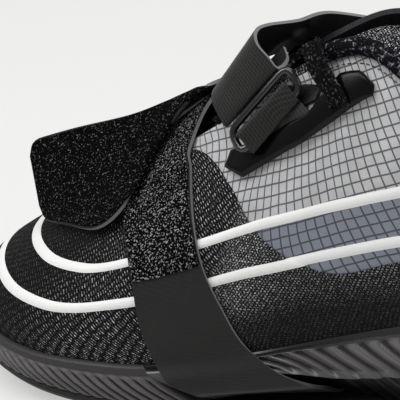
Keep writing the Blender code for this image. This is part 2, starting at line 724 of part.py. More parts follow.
def make_front_strap():
    """Strap from under the sole over the instep to the inner ring, and back to its free end."""
    columns = 5
    rows = []
    for toe_end, heel_end, height, outset, tucked in FRONT_FOOT:
        station = np.linspace(toe_end, heel_end, columns)
        low, high = tread_top(station), bite(station)
        out = outset - tucked * waist_at(station) * WAIST_DEPTH
        rows.append(ring(station, out, low + height * (high - low)))
    rows += [surface_row(f[:2], f[2:], STRAP_OUTSET, columns) for f in FRONT_FOLDS]
    rows.append(free_row(*CREST_ROW, columns))
    mirrored = [
        ((2 * TOE_SECTION - f[0], f[1]), (2 * TOE_SECTION - f[2], f[3])) for f in FRONT_FOLDS[::-1][:4]
    ]
    rows += [surface_row(a, b, STRAP_OUTSET, columns) for a, b in mirrored]
    turn_toe, turn_heel = mirrored[-1]
    for drop, out in TURN_STEPS:
        a = (turn_toe[0], turn_toe[1] - drop)
        b = (turn_heel[0], turn_heel[1] - drop)
        rows.append(surface_row(a, b, STRAP_OUTSET + out, columns))
    back = zip(mirrored[::-1][1:], RETURN_OUTSETS)
    rows += [surface_row(toe_edge, heel_edge, outset, columns) for (toe_edge, heel_edge), outset in back]
    rows += [free_row(low, high, columns) for low, high in FLAP_FOLDS]
    ribbon_solid("front_strap", smooth_rows(rows, 2), STRAP_THICKNESS, STRAP_CLOTH)


def make_ring(name, bars):
    """Wire ring round two long bars."""
    path = smooth_rows(ring_path(RING_ENDS, bars), 1)
    face = np.cross(bars[0][1] - bars[0][0], bars[1][0] - bars[0][0])
    tube_solid(name, path, (WIRE_RADIUS, WIRE_RADIUS), face, TUBE_SIDES, METAL, closed=True)


def make_ring_tab(name, bar, end_inset, outer_rows, inner_rows):
    """Webbing that turns round a ring's bar: rows lead to the bar outside it and away behind it."""
    columns = outer_rows[0].shape[0]
    inset = end_inset / np.linalg.norm(bar[1] - bar[0])
    share = np.linspace(inset, 1 - inset, columns)[:, None]
    line = bar[0] + (bar[1] - bar[0]) * share
    away = line - (outer_rows[-1] + inner_rows[0]) / 2
    along = (bar[1] - bar[0]) / np.linalg.norm(bar[1] - bar[0])
    away -= along * (away @ along)[:, None]
    away /= np.linalg.norm(away, axis=1, keepdims=True)
    front = np.cross(along, away)
    front *= np.sign(((outer_rows[-1] - inner_rows[0]) * front).sum())
    radius = WIRE_RADIUS + 2 * CLEARANCE + TAB_THICKNESS / 2
    turn = [line + radius * (front * math.cos(a) + away * math.sin(a)) for a in np.radians(TAB_TURN)]
    ribbon_solid(name, np.array([*outer_rows, *turn, *inner_rows]), TAB_THICKNESS, WEBBING)


def make_front_ring_parts():
    """Ring on the inner side for the front strap, and the webbing that holds it to the sole's edge."""
    toe_fold, heel_fold = FRONT_RING_STATIONS
    bars = [
        tuple(upper_point(np.array([station]), np.array([t]), out)[0] for station in (toe_fold, heel_fold))
        for t, out in FRONT_RING_BARS
    ]
    make_ring("front_ring", bars)
    ends = (toe_fold + TAB_NARROWING, heel_fold - TAB_NARROWING)
    rows = [
        [surface_row((ends[0], t), (ends[1], t), out, 4) for t, out in side]
        for side in (FRONT_TAB_OUTER, FRONT_TAB_INNER)
    ]
    make_ring_tab("front_ring_tab", bars[0], FRONT_TAB_INSET, *rows)


def make_lace_strip():
    """Flat ribbed strip from under the collar binding down over the base plate."""
    rows = [
        surface_row((station + LACE_STRIP_HALF, t), (station - LACE_STRIP_HALF, t), out, 3)
        for station, t, out in LACE_STRIP
    ]
    ribbon_solid("lace_strip", smooth_rows(rows, 2), LACE_STRIP_THICKNESS, LACE_CLOTH)


def make_rear_ring_parts():
    """Ring, its base plate on the quarter and the webbing between them, and the looped strap."""
    bars = [tuple(to_point(end) for end in bar) for bar in REAR_RING]
    make_ring("rear_ring", bars)
    toe_end, heel_end = REAR_TAB_STATIONS
    rows = [
        [surface_row((toe_end, a), (heel_end, b), out, 4) for a, b, out in side]
        for side in (REAR_TAB_OUTER, REAR_TAB_INNER)
    ]
    make_ring_tab("rear_ring_tab", bars[0], REAR_TAB_INSET, *rows)

    stations = np.array([row[0] for row in BASE_FOLDS])
    low = np.array([row[1] for row in BASE_FOLDS])
    high = np.array([row[2] for row in BASE_FOLDS])
    shares = np.linspace(0, 1, BASE_COLUMNS)
    t = low[:, None] + (high - low)[:, None] * shares
    spread = np.broadcast_to(stations[:, None], t.shape)
    under = LAYER_STEP + CLEARANCE
    front = upper_point(spread, t, np.broadcast_to(under + BASE_THICKNESS, t.shape))
    back = upper_point(spread, t, np.broadcast_to(under, t.shape))
    slab_solid("rear_ring_base", front, back, HARD_PLASTIC)

    rows = [surface_row(fold[:2], fold[2:], STRAP_OUTSET, 4) for fold in REAR_ANCHOR]
    rows += [free_row(low, high, 4) for low, high in REAR_FOLDS + REAR_INNER_FOLDS]
    ribbon_solid("rear_strap", smooth_rows(rows, 3), STRAP_THICKNESS, STRAP_CLOTH)


RUBBER = material("outsole rubber", (0.012, 0.012, 0.013), 0.6)
CUP_RUBBER = material("cup rubber", (0.030, 0.028, 0.027), 0.65)
HARD_PLASTIC = material("hard plastic", (0.010, 0.010, 0.011), 0.25)
FOAM = material("insole foam", (0.020, 0.020, 0.022), 0.9)
MESH_CLOTH = material("mesh cloth", (0.014, 0.014, 0.015), 0.85)
BRAID = material("braided binding", (0.030, 0.030, 0.033), 0.8)
KNIT = material("tongue knit", (0.018, 0.018, 0.020), 0.85)
LACE_CLOTH = material("lace", (0.020, 0.020, 0.022), 0.8)
STRAP_CLOTH = material("strap webbing", (0.022, 0.022, 0.023), 0.5)
WEBBING = material("tab webbing", (0.018, 0.018, 0.019), 0.7)
METAL = material("ring", (0.020, 0.020, 0.022), 0.3, 0.6)

make_outsole()
make_sole_sides()
make_insole()
make_upper()
make_tongue()
make_collar_rim()
make_lace()
make_lace_strip()
make_front_strap()
make_front_ring_parts()
make_rear_ring_parts()
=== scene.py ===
"""Looks of the weightlifting shoe: cloth, rubber, plastic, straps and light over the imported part.

Units are metres, +Z is up, the toe points to -X and the outer side to -Y.
"""

import math

import bpy
import numpy as np
from mathutils import Matrix


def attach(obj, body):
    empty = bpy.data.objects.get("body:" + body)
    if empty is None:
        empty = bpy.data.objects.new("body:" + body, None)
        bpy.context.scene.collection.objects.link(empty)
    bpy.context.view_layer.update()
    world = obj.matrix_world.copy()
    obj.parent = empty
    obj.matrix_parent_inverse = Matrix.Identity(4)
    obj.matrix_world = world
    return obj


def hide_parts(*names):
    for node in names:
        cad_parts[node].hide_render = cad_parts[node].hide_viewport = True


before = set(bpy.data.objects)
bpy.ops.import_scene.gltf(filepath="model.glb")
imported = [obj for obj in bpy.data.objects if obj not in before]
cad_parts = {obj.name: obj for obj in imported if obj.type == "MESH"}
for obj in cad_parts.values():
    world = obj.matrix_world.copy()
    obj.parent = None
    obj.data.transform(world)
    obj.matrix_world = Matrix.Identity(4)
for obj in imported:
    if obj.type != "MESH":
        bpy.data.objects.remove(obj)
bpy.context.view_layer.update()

# Outsole: a moulded rubber plate under the whole shoe, flat under the heel and the forefoot and
# curled up at the toe. Low ridges run across it. The outline of every other piece is set from it,
# so the shoe's table of sections stands here.
SHOE_LENGTH = 0.290
BALL_WIDTH = 0.096
HEEL_SETBACK = 0.045
FOREFOOT_RISE = 0.0205
HEEL_RISE = 0.047
COLLAR_HEIGHT = 0.132
TOE_SPRING = 0.011
SPRING_START = 0.72
SPRING_CURVE = 1.7
CLEARANCE = 0.0003
TREAD_THICKNESS = 0.006
SOLE_FLARE = 0.005
TREAD_INSET = 0.0024
WAIST_ARCH = 0.0022
WAIST_MIDDLE = 0.53
WAIST_SPAN = 0.12
STATION_STEP = 0.02
T_STEP = 0.01
SECTION_COLUMNS = (
    "along", "across", "lift", "top_along", "top_across", "top_up", "rise", "bulge", "reach", "drop", "layer",
)
SECTIONS = (
    (0.000, 0.000, 1.000, 0.022, 0.000, 0.845, 0.150, 0.050, 0.030, 0.170, 0.340),
    (0.018, -0.170, 0.995, 0.040, -0.150, 0.830, 0.150, 0.045, 0.025, 0.160, 0.340),
    (0.062, -0.300, 0.970, 0.085, -0.255, 0.785, 0.150, 0.030, 0.020, 0.150, 0.330),
    (0.150, -0.365, 0.900, 0.160, -0.320, 0.745, 0.150, 0.020, 0.020, 0.130, 0.320),
    (0.270, -0.375, 0.780, 0.260, -0.340, 0.780, 0.170, 0.015, 0.030, 0.120, 0.310),
    (0.380, -0.380, 0.620, 0.345, -0.315, 0.905, 0.200, 0.020, 0.060, 0.130, 0.285),
    (0.480, -0.405, 0.400, 0.420, -0.235, 0.995, 0.230, 0.025, 0.120, 0.130, 0.245),
    (0.590, -0.455, 0.160, 0.500, -0.195, 0.935, 0.230, 0.025, 0.150, 0.130, 0.420),
    (0.690, -0.500, 0.020, 0.580, -0.165, 0.825, 0.200, 0.025, 0.170, 0.140, 0.710),
    (0.780, -0.505, -0.030, 0.650, -0.125, 0.725, 0.170, 0.025, 0.190, 0.155, 0.930),
    (0.870, -0.455, -0.130, 0.695, -0.085, 0.660, 0.140, 0.025, 0.230, 0.180, 0.950),
    (0.940, -0.325, -0.215, 0.715, -0.045, 0.635, 0.125, 0.025, 0.270, 0.205, 0.950),
    (0.985, -0.120, -0.270, 0.722, 0.000, 0.628, 0.120, 0.025, 0.295, 0.215, 0.950),
    (1.000, 0.100, -0.280, 0.724, 0.040, 0.628, 0.120, 0.025, 0.300, 0.220, 0.950),
    (0.975, 0.290, -0.260, 0.718, 0.080, 0.633, 0.125, 0.025, 0.285, 0.215, 0.950),
    (0.910, 0.420, -0.190, 0.698, 0.125, 0.655, 0.145, 0.025, 0.240, 0.190, 0.950),
    (0.820, 0.475, -0.080, 0.650, 0.165, 0.725, 0.175, 0.025, 0.195, 0.165, 0.950),
    (0.720, 0.465, 0.010, 0.585, 0.195, 0.825, 0.210, 0.020, 0.160, 0.150, 0.930),
    (0.610, 0.410, 0.130, 0.505, 0.215, 0.935, 0.240, 0.010, 0.140, 0.140, 0.710),
    (0.500, 0.350, 0.360, 0.425, 0.250, 0.995, 0.240, 0.010, 0.110, 0.140, 0.420),
    (0.390, 0.335, 0.600, 0.345, 0.320, 0.920, 0.200, 0.015, 0.060, 0.135, 0.250),
    (0.270, 0.350, 0.780, 0.260, 0.345, 0.800, 0.170, 0.020, 0.030, 0.125, 0.290),
    (0.150, 0.355, 0.900, 0.160, 0.320, 0.765, 0.150, 0.020, 0.020, 0.130, 0.310),
    (0.062, 0.295, 0.970, 0.085, 0.255, 0.795, 0.150, 0.030, 0.020, 0.150, 0.330),
    (0.018, 0.170, 0.995, 0.040, 0.150, 0.832, 0.150, 0.045, 0.025, 0.160, 0.340),
)
TOE_SECTION = 13
SHARP_ANGLE = 40


def between(before, start, end, after, t):
    """The place at t on a smooth curve from start to end, shaped by the places before and after."""
    return (
        start * (2 * t**3 - 3 * t**2 + 1)
        + (end - before) / 2 * (t**3 - 2 * t**2 + t)
        + end * (3 * t**2 - 2 * t**3)
        + (after - start) / 2 * (t**3 - t**2)
    )


def unit(vectors):
    """The vectors, each at a length of 1."""
    return vectors / np.linalg.norm(vectors, axis=-1, keepdims=True)


def run_lengths(rows):
    """How far it is from the first row of points to each row, from point to point."""
    steps = np.linalg.norm(np.diff(rows, axis=0), axis=-1)
    return np.concatenate([np.zeros((1, *steps.shape[1:])), np.cumsum(steps, axis=0)])


def section_at(column, station):
    """A column of SECTIONS, read at stations counted in rows, on a closed smooth curve."""
    values = np.array([row[SECTION_COLUMNS.index(column)] for row in SECTIONS])
    station = np.mod(np.asarray(station, float), len(values))
    row = np.floor(station).astype(int)
    return between(*(values[(row + k) % len(values)] for k in (-1, 0, 1, 2)), station - row)


def share_to_x(share):
    """Where a share of the shoe's length from the heel lies on X."""
    return HEEL_SETBACK - share * SHOE_LENGTH


def spring(share):
    """How far the sole has curled up from the floor at a share of the length from the heel."""
    curl = np.clip((share - SPRING_START) / (1 - SPRING_START), 0, None)
    return TOE_SPRING * curl**SPRING_CURVE


def plan(station):
    """X and Y of the line where upper and sole meet."""
    return np.stack(
        [share_to_x(section_at("along", station)), section_at("across", station) * BALL_WIDTH], axis=-1
    )


def outward(station):
    """Unit vector in plan that points out of the shoe at a station."""
    station = np.asarray(station)
    run = plan(station + STATION_STEP) - plan(station - STATION_STEP)
    return unit(np.stack([-run[..., 1], run[..., 0]], axis=-1))


def bite(station):
    """Height of the line where the upper leaves the sole."""
    rise = FOREFOOT_RISE + section_at("lift", station) * (HEEL_RISE - FOREFOOT_RISE)
    return rise + spring(section_at("along", station))


def beside(station, outset, height):
    """Points on the sole's outline, moved out by outset, at a height."""
    spot = plan(station) + outward(station) * np.asarray(outset)[..., None]
    return np.concatenate([spot, np.broadcast_to(height, spot.shape[:-1])[..., None]], axis=-1)


def waist(share):
    """How far a share of the length from the heel is in the waist, from 0 to 1."""
    return np.exp(-(((share - WAIST_MIDDLE) / WAIST_SPAN) ** 4))


def waist_at(station):
    """How far a station is in the waist, from 0 to 1."""
    return waist(section_at("along", station))


OUTLINE_STATIONS = np.linspace(0, len(SECTIONS), 4001)
OUTLINE_LENGTHS = run_lengths(plan(OUTLINE_STATIONS))
OUTLINE = OUTLINE_LENGTHS[-1]
TOE_LENGTH = np.interp(TOE_SECTION, OUTLINE_STATIONS, OUTLINE_LENGTHS)


def station_at(length):
    """The station at a length along the outline from the toe: outer side negative, inner positive."""
    return np.interp(np.mod(np.asarray(length) + TOE_LENGTH, OUTLINE), OUTLINE_LENGTHS, OUTLINE_STATIONS)


def smoothstep(value, low, high):
    """0 below low, 1 above high and an even ease between them."""
    share = np.clip((np.asarray(value, float) - low) / (high - low), 0, 1)
    return share * share * (3 - 2 * share)


def add_object(name, data):
    """A new object in the scene, at the origin."""
    made = bpy.data.objects.new(name, data)
    bpy.context.scene.collection.objects.link(made)
    return made


def make_piece(name, points, faces, chart, finishes, marks=None, places=None):
    """A piece from points and faces, with a map for each corner, its finishes and its marked values."""
    mesh = bpy.data.meshes.new(name)
    mesh.from_pydata(points.tolist(), [], faces.tolist())
    mesh.uv_layers.new(name="UVMap").data.foreach_set("uv", chart.ravel())
    for finish in finishes:
        mesh.materials.append(finish)
    if places is not None:
        mesh.polygons.foreach_set("material_index", places.astype(np.int32))
    for label, values in (marks or {}).items():
        kind = "FLOAT" if values.ndim == 1 else "FLOAT_VECTOR"
        field = "value" if values.ndim == 1 else "vector"
        mesh.attributes.new(label, kind, "POINT").data.foreach_set(field, values.ravel())
    mesh.shade_smooth()
    mesh.set_sharp_from_angle(angle=math.radians(SHARP_ANGLE))
    return add_object(name, mesh)


def skin(name, front, back, chart, finishes, closed=False, marks=None):
    """A closed body between a front and a back grid. The finishes are for front, back and edges."""
    rows, columns = front.shape[:2]
    points = np.concatenate([front.reshape(-1, 3), back.reshape(-1, 3)])
    behind = rows * columns
    last = columns if closed else columns - 1
    width = columns + 1 if closed else columns

    def corner(r, c):
        return r * columns + c % columns, r * width + c

    r, c = (a.ravel() for a in np.meshgrid(np.arange(rows - 1), np.arange(last), indexing="ij"))
    quad = [corner(r, c), corner(r, c + 1), corner(r + 1, c + 1), corner(r + 1, c)]
    face = np.stack([q[0] for q in quad], axis=1)
    spot = np.stack([q[1] for q in quad], axis=1)
    faces, spots = [face, face[:, ::-1] + behind], [spot, spot[:, ::-1]]
    c = np.arange(last)
    first, end = 0 * c, 0 * c + rows - 1
    rims = [(corner(first, c + 1), corner(first, c)), (corner(end, c), corner(end, c + 1))]
    if not closed:
        r = np.arange(rows - 1)
        left, right = 0 * r, 0 * r + last
        rims += [(corner(r, left), corner(r + 1, left)), (corner(r + 1, right), corner(r, right))]
    for (a, a_spot), (b, b_spot) in rims:
        faces.append(np.stack([a, b, b + behind, a + behind], axis=1))
        spots.append(np.stack([a_spot, b_spot, b_spot, a_spot], axis=1))
    places = np.concatenate([np.full(len(f), min(k, 2)) for k, f in enumerate(faces)])
    faces, spots = np.concatenate(faces), np.concatenate(spots)
    cross = np.cross(points[face[:, 1]] - points[face[:, 0]], points[face[:, 3]] - points[face[:, 0]])
    if np.sum(cross * (points[face[:, 0]] - points[face[:, 0] + behind])) < 0:
        faces, spots = faces[:, ::-1], spots[:, ::-1]
    both = {
        label: np.concatenate([values.reshape((behind,) + values.shape[2:])] * 2)
        for label, values in (marks or {}).items()
    }
    both["front"] = np.concatenate([np.ones(behind), np.zeros(behind)])
    used = list(dict.fromkeys(finishes))
    places = np.array([used.index(f) for f in finishes])[places]
    return make_piece(name, points, faces, chart.reshape(-1, 2)[spots], used, both, places)


def chart_of(grid, closed=False):
    """A flat map of a grid in metres: along its middle row, and up its columns."""
    if closed:
        grid = np.concatenate([grid, grid[:, :1]], axis=1)
    along = np.broadcast_to(run_lengths(grid[len(grid) // 2]), grid.shape[:2])
    return np.stack([along, run_lengths(grid)], axis=-1)


class Term:
    """A socket of a node tree to reckon with. Each sign, and each call but to, adds the node for it."""

    def __init__(self, tree, socket):
        self.tree, self.socket = tree, socket

    def do(self, operation, *others):
        """A math node with this as its first value."""
        return wire(self.tree, "ShaderNodeMath", self, *others, operation=operation)

    def __add__(self, other):
        return self.do("ADD", other)

    def __sub__(self, other):
        return self.do("SUBTRACT", other)

    def __rsub__(self, other):
        return wire(self.tree, "ShaderNodeMath", other, self, operation="SUBTRACT")

    def __mul__(self, other):
        return self.do("MULTIPLY", other)

    def __truediv__(self, other):
        return self.do("DIVIDE", other)

    def __pow__(self, other):
        return self.do("POWER", other)

    def __abs__(self):
        return self.do("ABSOLUTE")

    def ramp(self, low, high, start=0.0, end=1.0, smooth=False):
        """From start to end as this goes from low to high."""
        ease = {"interpolation_type": "SMOOTHSTEP"} if smooth else {}
        return wire(self.tree, "ShaderNodeMapRange", self, low, high, start, end, **ease)

    def blend(self, first, second):
        """A mix of two colours, with this as the share of the second."""
        pair = [color if isinstance(color, Term) else (*color, 1) for color in (first, second)]
        return wire(self.tree, "ShaderNodeMix", self, *pair, data_type="RGBA")

    def scaled(self, share):
        """This vector or colour times a share."""
        return wire(self.tree, "ShaderNodeVectorMath", self, share, operation="SCALE")

    def to(self, node, label):
        """Links this to an input of a node."""
        self.tree.links.new(self.socket, node.inputs[label])


def wire(tree, kind, *inputs, out=0, **settings):
    """A node of a tree, as the term of one output. Inputs are terms, values, or None for no change."""
    node = tree.nodes.new(kind)
    for key, value in settings.items():
        setattr(node, key, value)
    for socket, value in zip([s for s in node.inputs if s.enabled], inputs):
        if isinstance(value, Term):
            tree.links.new(value.socket, socket)
        elif value is not None:
            socket.default_value = value
    outputs = node.outputs if isinstance(out, str) else [s for s in node.outputs if s.enabled]
    return Term(tree, outputs[out])


def places(tree, kind):
    """Where a point of the piece is: its place in space as Object, or on its flat map as UV."""
    return wire(tree, "ShaderNodeTexCoord", out=kind)


def parts_of(vector):
    """The three parts of a vector."""
    node = vector.tree.nodes.new("ShaderNodeSeparateXYZ")
    vector.to(node, 0)
    return [Term(vector.tree, socket) for socket in node.outputs]


def marked(tree, label):
    """A value that the piece's points are marked with, for a finish."""
    return wire(tree, "ShaderNodeAttribute", attribute_name=label, out="Fac")


def named(tree, label, kind="FLOAT"):
    """A value that the points are marked with, for a geometry tree."""
    return wire(tree, "GeometryNodeInputNamedAttribute", label, data_type=kind, out="Attribute")


def finish_of(name, color, roughness, metallic=0.0, specular=0.5, sheen=0.0, coat=0.0):
    """A plain finish, and its tree and shader for what is added to it."""
    made = bpy.data.materials.new(name)
    made.use_nodes = True
    tree = made.node_tree
    shader = tree.nodes["Principled BSDF"]
    settings = {
        "Base Color": (*color, 1),
        "Roughness": roughness,
        "Metallic": metallic,
        "Specular IOR Level": specular,
        "Sheen Weight": sheen,
        "Coat Weight": coat,
    }
    for label, value in settings.items():
        shader.inputs[label].default_value = value
    made.diffuse_color = (*color, 1)
    return made, tree, shader


def emboss(shader, height, distance):
    """Lets a height, in shares of a distance, dent the finish."""
    bump = wire(height.tree, "ShaderNodeBump", 1.0, distance)
    node = bump.socket.node
    height.to(node, "Height")
    bump.to(shader, "Normal")


def object_noise(tree, size, detail=3.0, roughness=0.6):
    """Even noise on the piece, with grains of a size in metres."""
    return wire(tree, "ShaderNodeTexNoise", places(tree, "Object"), 1 / size, detail, roughness, out="Fac")


def rubber_finish(name, color, roughness, grain):
    """Matte moulded rubber with a fine grain."""
    made, tree, shader = finish_of(name, color, roughness, specular=0.3)
    emboss(shader, object_noise(tree, grain), 0.00012)
    object_noise(tree, 0.02).do("MULTIPLY_ADD", 0.25, roughness - 0.12).to(shader, "Roughness")
    return made


def new_tree(name, sizes):
    """An empty geometry tree with named sizes and a finish, and its inputs."""
    tree = bpy.data.node_groups.new(name, "GeometryNodeTree")
    tree.interface.new_socket("Geometry", in_out="INPUT", socket_type="NodeSocketGeometry")
    for label, value in sizes.items():
        socket = tree.interface.new_socket(label, in_out="INPUT", socket_type="NodeSocketFloat")
        socket.default_value = value
    tree.interface.new_socket("Finish", in_out="INPUT", socket_type="NodeSocketMaterial")
    tree.interface.new_socket("Geometry", in_out="OUTPUT", socket_type="NodeSocketGeometry")
    given = tree.nodes.new("NodeGroupInput").outputs
    return tree, {label: Term(tree, given[label]) for label in ("Geometry", *sizes, "Finish")}


def end_tree(tree, given, geometry):
    """Ends a tree: what it repeats is made real, and takes the finish."""
    real = wire(tree, "GeometryNodeRealizeInstances", geometry)
    done = wire(tree, "GeometryNodeSetMaterial", real, None, given["Finish"])
    done.to(tree.nodes.new("NodeGroupOutput"), 0)


def grow(name, base, tree, finish, **sizes):
    """Runs a tree on a base object, and puts the plain mesh that it gives in the base's place."""
    modifier = base.modifiers.new(tree.name, "NODES")
    modifier.node_group = tree
    for item in tree.interface.items_tree:
        if item.in_out == "INPUT" and item.name in sizes:
            modifier[item.identifier] = sizes[item.name]
        if item.in_out == "INPUT" and item.name == "Finish":
            modifier[item.identifier] = finish
    graph = bpy.context.evaluated_depsgraph_get()
    grown = base.evaluated_get(graph)
    mesh = bpy.data.meshes.new_from_object(grown, preserve_all_data_layers=True, depsgraph=graph)
    base.modifiers.remove(modifier)
    bpy.data.objects.remove(base)
    return add_object(name, mesh)


def fix(piece, slot, *nodes):
    """The piece moves with the shoe and stands for the nodes, which it hides. The slot is not used."""
    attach(piece, "root")
    if nodes:
        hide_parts(*nodes)
    return piece


SOLE_COLUMNS = 420
RIDGE_HEIGHT = 0.0016
RIDGE_PITCH = 0.0062
RIDGE_WIDTH = 0.0040
outsole_rubber = rubber_finish("outsole rubber", (0.010, 0.0097, 0.0097), roughness=0.62, grain=0.0006)

station = station_at(np.arange(SOLE_COLUMNS) / SOLE_COLUMNS * OUTLINE - TOE_LENGTH)
floor = spring(section_at("along", station)) + WAIST_ARCH * waist_at(station)
floor = floor + RIDGE_HEIGHT * (1 - waist_at(station))
top = TREAD_THICKNESS + spring(section_at("along", station))
edge = SOLE_FLARE - TREAD_INSET
middle = np.array([share_to_x(0.5), 0.0, 0.0])
loops = [
    beside(station, edge - 0.0006, floor),
    beside(station, edge, floor + 0.0008),
    beside(station, edge + TREAD_INSET / 2, (floor + top) / 2),
    beside(station, edge + TREAD_INSET / 2, top - 0.0004),
    beside(station, edge + TREAD_INSET / 2 - 0.0004, top),
]


def quads(rows, columns, closed=False):
    """Rows, columns and faces of the quads between rows of points that close round."""
    r, c = (a.ravel() for a in np.meshgrid(np.arange(rows - (not closed)), np.arange(columns), indexing="ij"))
    s, d = (r + 1) % rows, (c + 1) % columns
    faces = [r * columns + c, r * columns + d, s * columns + d, s * columns + c]
    return r, c, np.stack(faces, axis=1)


def inside_out(points, faces):
    """Whether the faces of a closed body look inward."""
    a, b, c = (points[faces[:, k]] - points.mean(axis=0) for k in range(3))
    return np.sum(np.cross(a, b) * c) < 0


def plate(name, loops, finish):
    """A closed body through level loops from the lowest to the highest, mapped from above."""
    loops = np.array(loops)
    count = loops.shape[1]
    points = loops.reshape(-1, 3)
    sides = quads(len(loops), count)[2]
    i = np.arange(count // 2 - 1)
    cap = np.stack([i + 1, i, count - 1 - i, count - 2 - i], axis=1)
    faces = np.concatenate([sides, cap, cap[:, ::-1] + (len(loops) - 1) * count])
    if inside_out(points, faces):
        faces = faces[:, ::-1]
    return make_piece(name, points, faces, points[faces][:, :, :2], [finish])


tread = plate("outsole_plate", loops, outsole_rubber)
fix(tread, "outsole_rubber", "outsole")

# Ridges of the tread: low rubber bars moulded on the outsole's face, one at each pitch along the sole
# except in the waist, and each as wide as the sole is there.
RIDGE_SPAN = (0.045, 0.93)
RIDGE_INSET = 0.004
RIDGE_REACH = 0.0012
RIDGE_WAIST = 0.02
SHARE_STEP = 0.01
ridge_tree, given = new_tree("Tread ridges", {"Width": RIDGE_WIDTH, "Height": RIDGE_HEIGHT})
bar = wire(ridge_tree, "GeometryNodeMeshCube", out="Mesh")
side = named(ridge_tree, "side")
lean = named(ridge_tree, "lean")
size = wire(ridge_tree, "ShaderNodeCombineXYZ", given["Width"], side, given["Height"] * 2.0)
turned = wire(ridge_tree, "ShaderNodeCombineXYZ", None, lean, None)
points = given["Geometry"]
bars = wire(ridge_tree, "GeometryNodeInstanceOnPoints", points, None, bar, None, None, turned, size)
end_tree(ridge_tree, given, bars)

spots, widths, leans = [], [], []
loop = beside(station, edge - RIDGE_INSET, floor)
for share in np.arange(*RIDGE_SPAN, RIDGE_PITCH / SHOE_LENGTH):
    if waist(share) > RIDGE_WAIST:
        continue
    x = share_to_x(share)
    across = loop[np.abs(loop[:, 0] - x) < RIDGE_REACH, 1]
    level = float(spring(share))
    lift = WAIST_ARCH * float(waist(share)) + RIDGE_HEIGHT
    spots.append((x, (across.max() + across.min()) / 2, level + lift))
    widths.append(across.max() - across.min())
    leans.append(math.atan2(float(spring(share + SHARE_STEP) - level), SHARE_STEP * SHOE_LENGTH))
points = bpy.data.meshes.new("ridge points")
points.from_pydata(spots, [], [])
for label, values in (("side", widths), ("lean", leans)):
    points.attributes.new(label, "FLOAT", "POINT").data.foreach_set("value", values)
ridges = grow("tread_ridges", add_object("ridge points", points), ridge_tree, outsole_rubber)
fix(ridges, "outsole_rubber")

# Forefoot cup: a rubber sidewall from the waist round the toe. Moulded ribs lean towards the heel as
# they go down, and a smooth rand runs above them, where the cup is glued to the upper.
# The grooves between the ribs are painted darker, as painted shade, and the rand band is darker than the
# ribs.
SEAT_LEDGE = 0.0032
SEAT_CLEARANCE = 0.0004
SEAT_DEPTH = 0.005
WAIST_DEPTH = 0.010
JOINT_LOW = 0.640
JOINT_HIGH = 0.715
JOINT_SEARCH = (0.060, 0.150)
JOINT_TRIES = 400
CUP_ROWS = 44
CUP_COLUMNS = 900
RIB_SIZES = {"Pitch": 0.0048, "Depth": 0.0020, "Slant": 0.0145, "Top": 0.76}
RIB_SWEEP = 1.25
RIB_BREADTH = 0.75
RIB_FADE = 0.28
TOE_TURN = 0.012
RIB_GROOVE_SHADE = (-0.95, -0.35)
RAND_TONE = (0.70, 0.80, 1.0, 0.35)
# share of the wall's height and outset, from the outsole up
CUP_PROFILE = (
    (0.00, 0.0040),
    (0.05, 0.0048),
    (0.40, 0.0048),
    (0.66, 0.0040),
    (0.75, 0.0031),
    (0.79, 0.0034),
    (0.95, 0.0026),
    (1.00, 0.0012),
)


def joint_x(height):
    """Where the joint between the heel wedge and the cup lies at a height."""
    low, high = share_to_x(JOINT_LOW), share_to_x(JOINT_HIGH)
    return low + (high - low) * (height - TREAD_THICKNESS) / (FOREFOOT_RISE - TREAD_THICKNESS)


def sole_heights(station, share):
    """Height at a share of the sidewall between the outsole and the line under the upper."""
    low = TREAD_THICKNESS + spring(section_at("along", station)) + CLEARANCE
    return low + share * (bite(station) - CLEARANCE - low)


def joint_lengths(share, outset):
    """Lengths along the outline, on the outer and the inner side, where a level meets the joint."""
    found = []
    for side in (-1, 1):
        lengths = side * np.linspace(*JOINT_SEARCH, JOINT_TRIES)
        station = station_at(lengths)
        level = beside(station, np.full(JOINT_TRIES, outset), sole_heights(station, share))
        past = level[:, 0] - joint_x(level[:, 2])
        found.append(float(np.interp(0.0, past, lengths)))
    return found


def carve(tree, given, depth, groove):
    """Ends a relief tree: points move out, and are marked with how low they lie in a groove, which the finish
    paints as shade.
    """
    move = named(tree, "out", "FLOAT_VECTOR").scaled(depth)
    moved = wire(tree, "GeometryNodeSetPosition", given["Geometry"], None, None, move)
    end_tree(tree, given, wire(tree, "GeometryNodeStoreNamedAttribute", moved, None, "groove", groove))


rib_tree, given = new_tree("Cup ribs", RIB_SIZES)
length, share, front = (named(rib_tree, label) for label in ("length", "share", "front"))
below = (1.0 - share / given["Top"]).do("MAXIMUM", 0.0)
sweep = given["Slant"] * below**RIB_SWEEP
phase = (length - sweep * (length / TOE_TURN).do("TANH")) / given["Pitch"]
ridge = abs((phase * math.pi).do("SINE")) ** RIB_BREADTH - 1.0
fade = below.ramp(0.0, RIB_FADE, smooth=True)
depth = ridge * fade * (given["Depth"] * front)
carve(rib_tree, given, depth, ridge * fade)

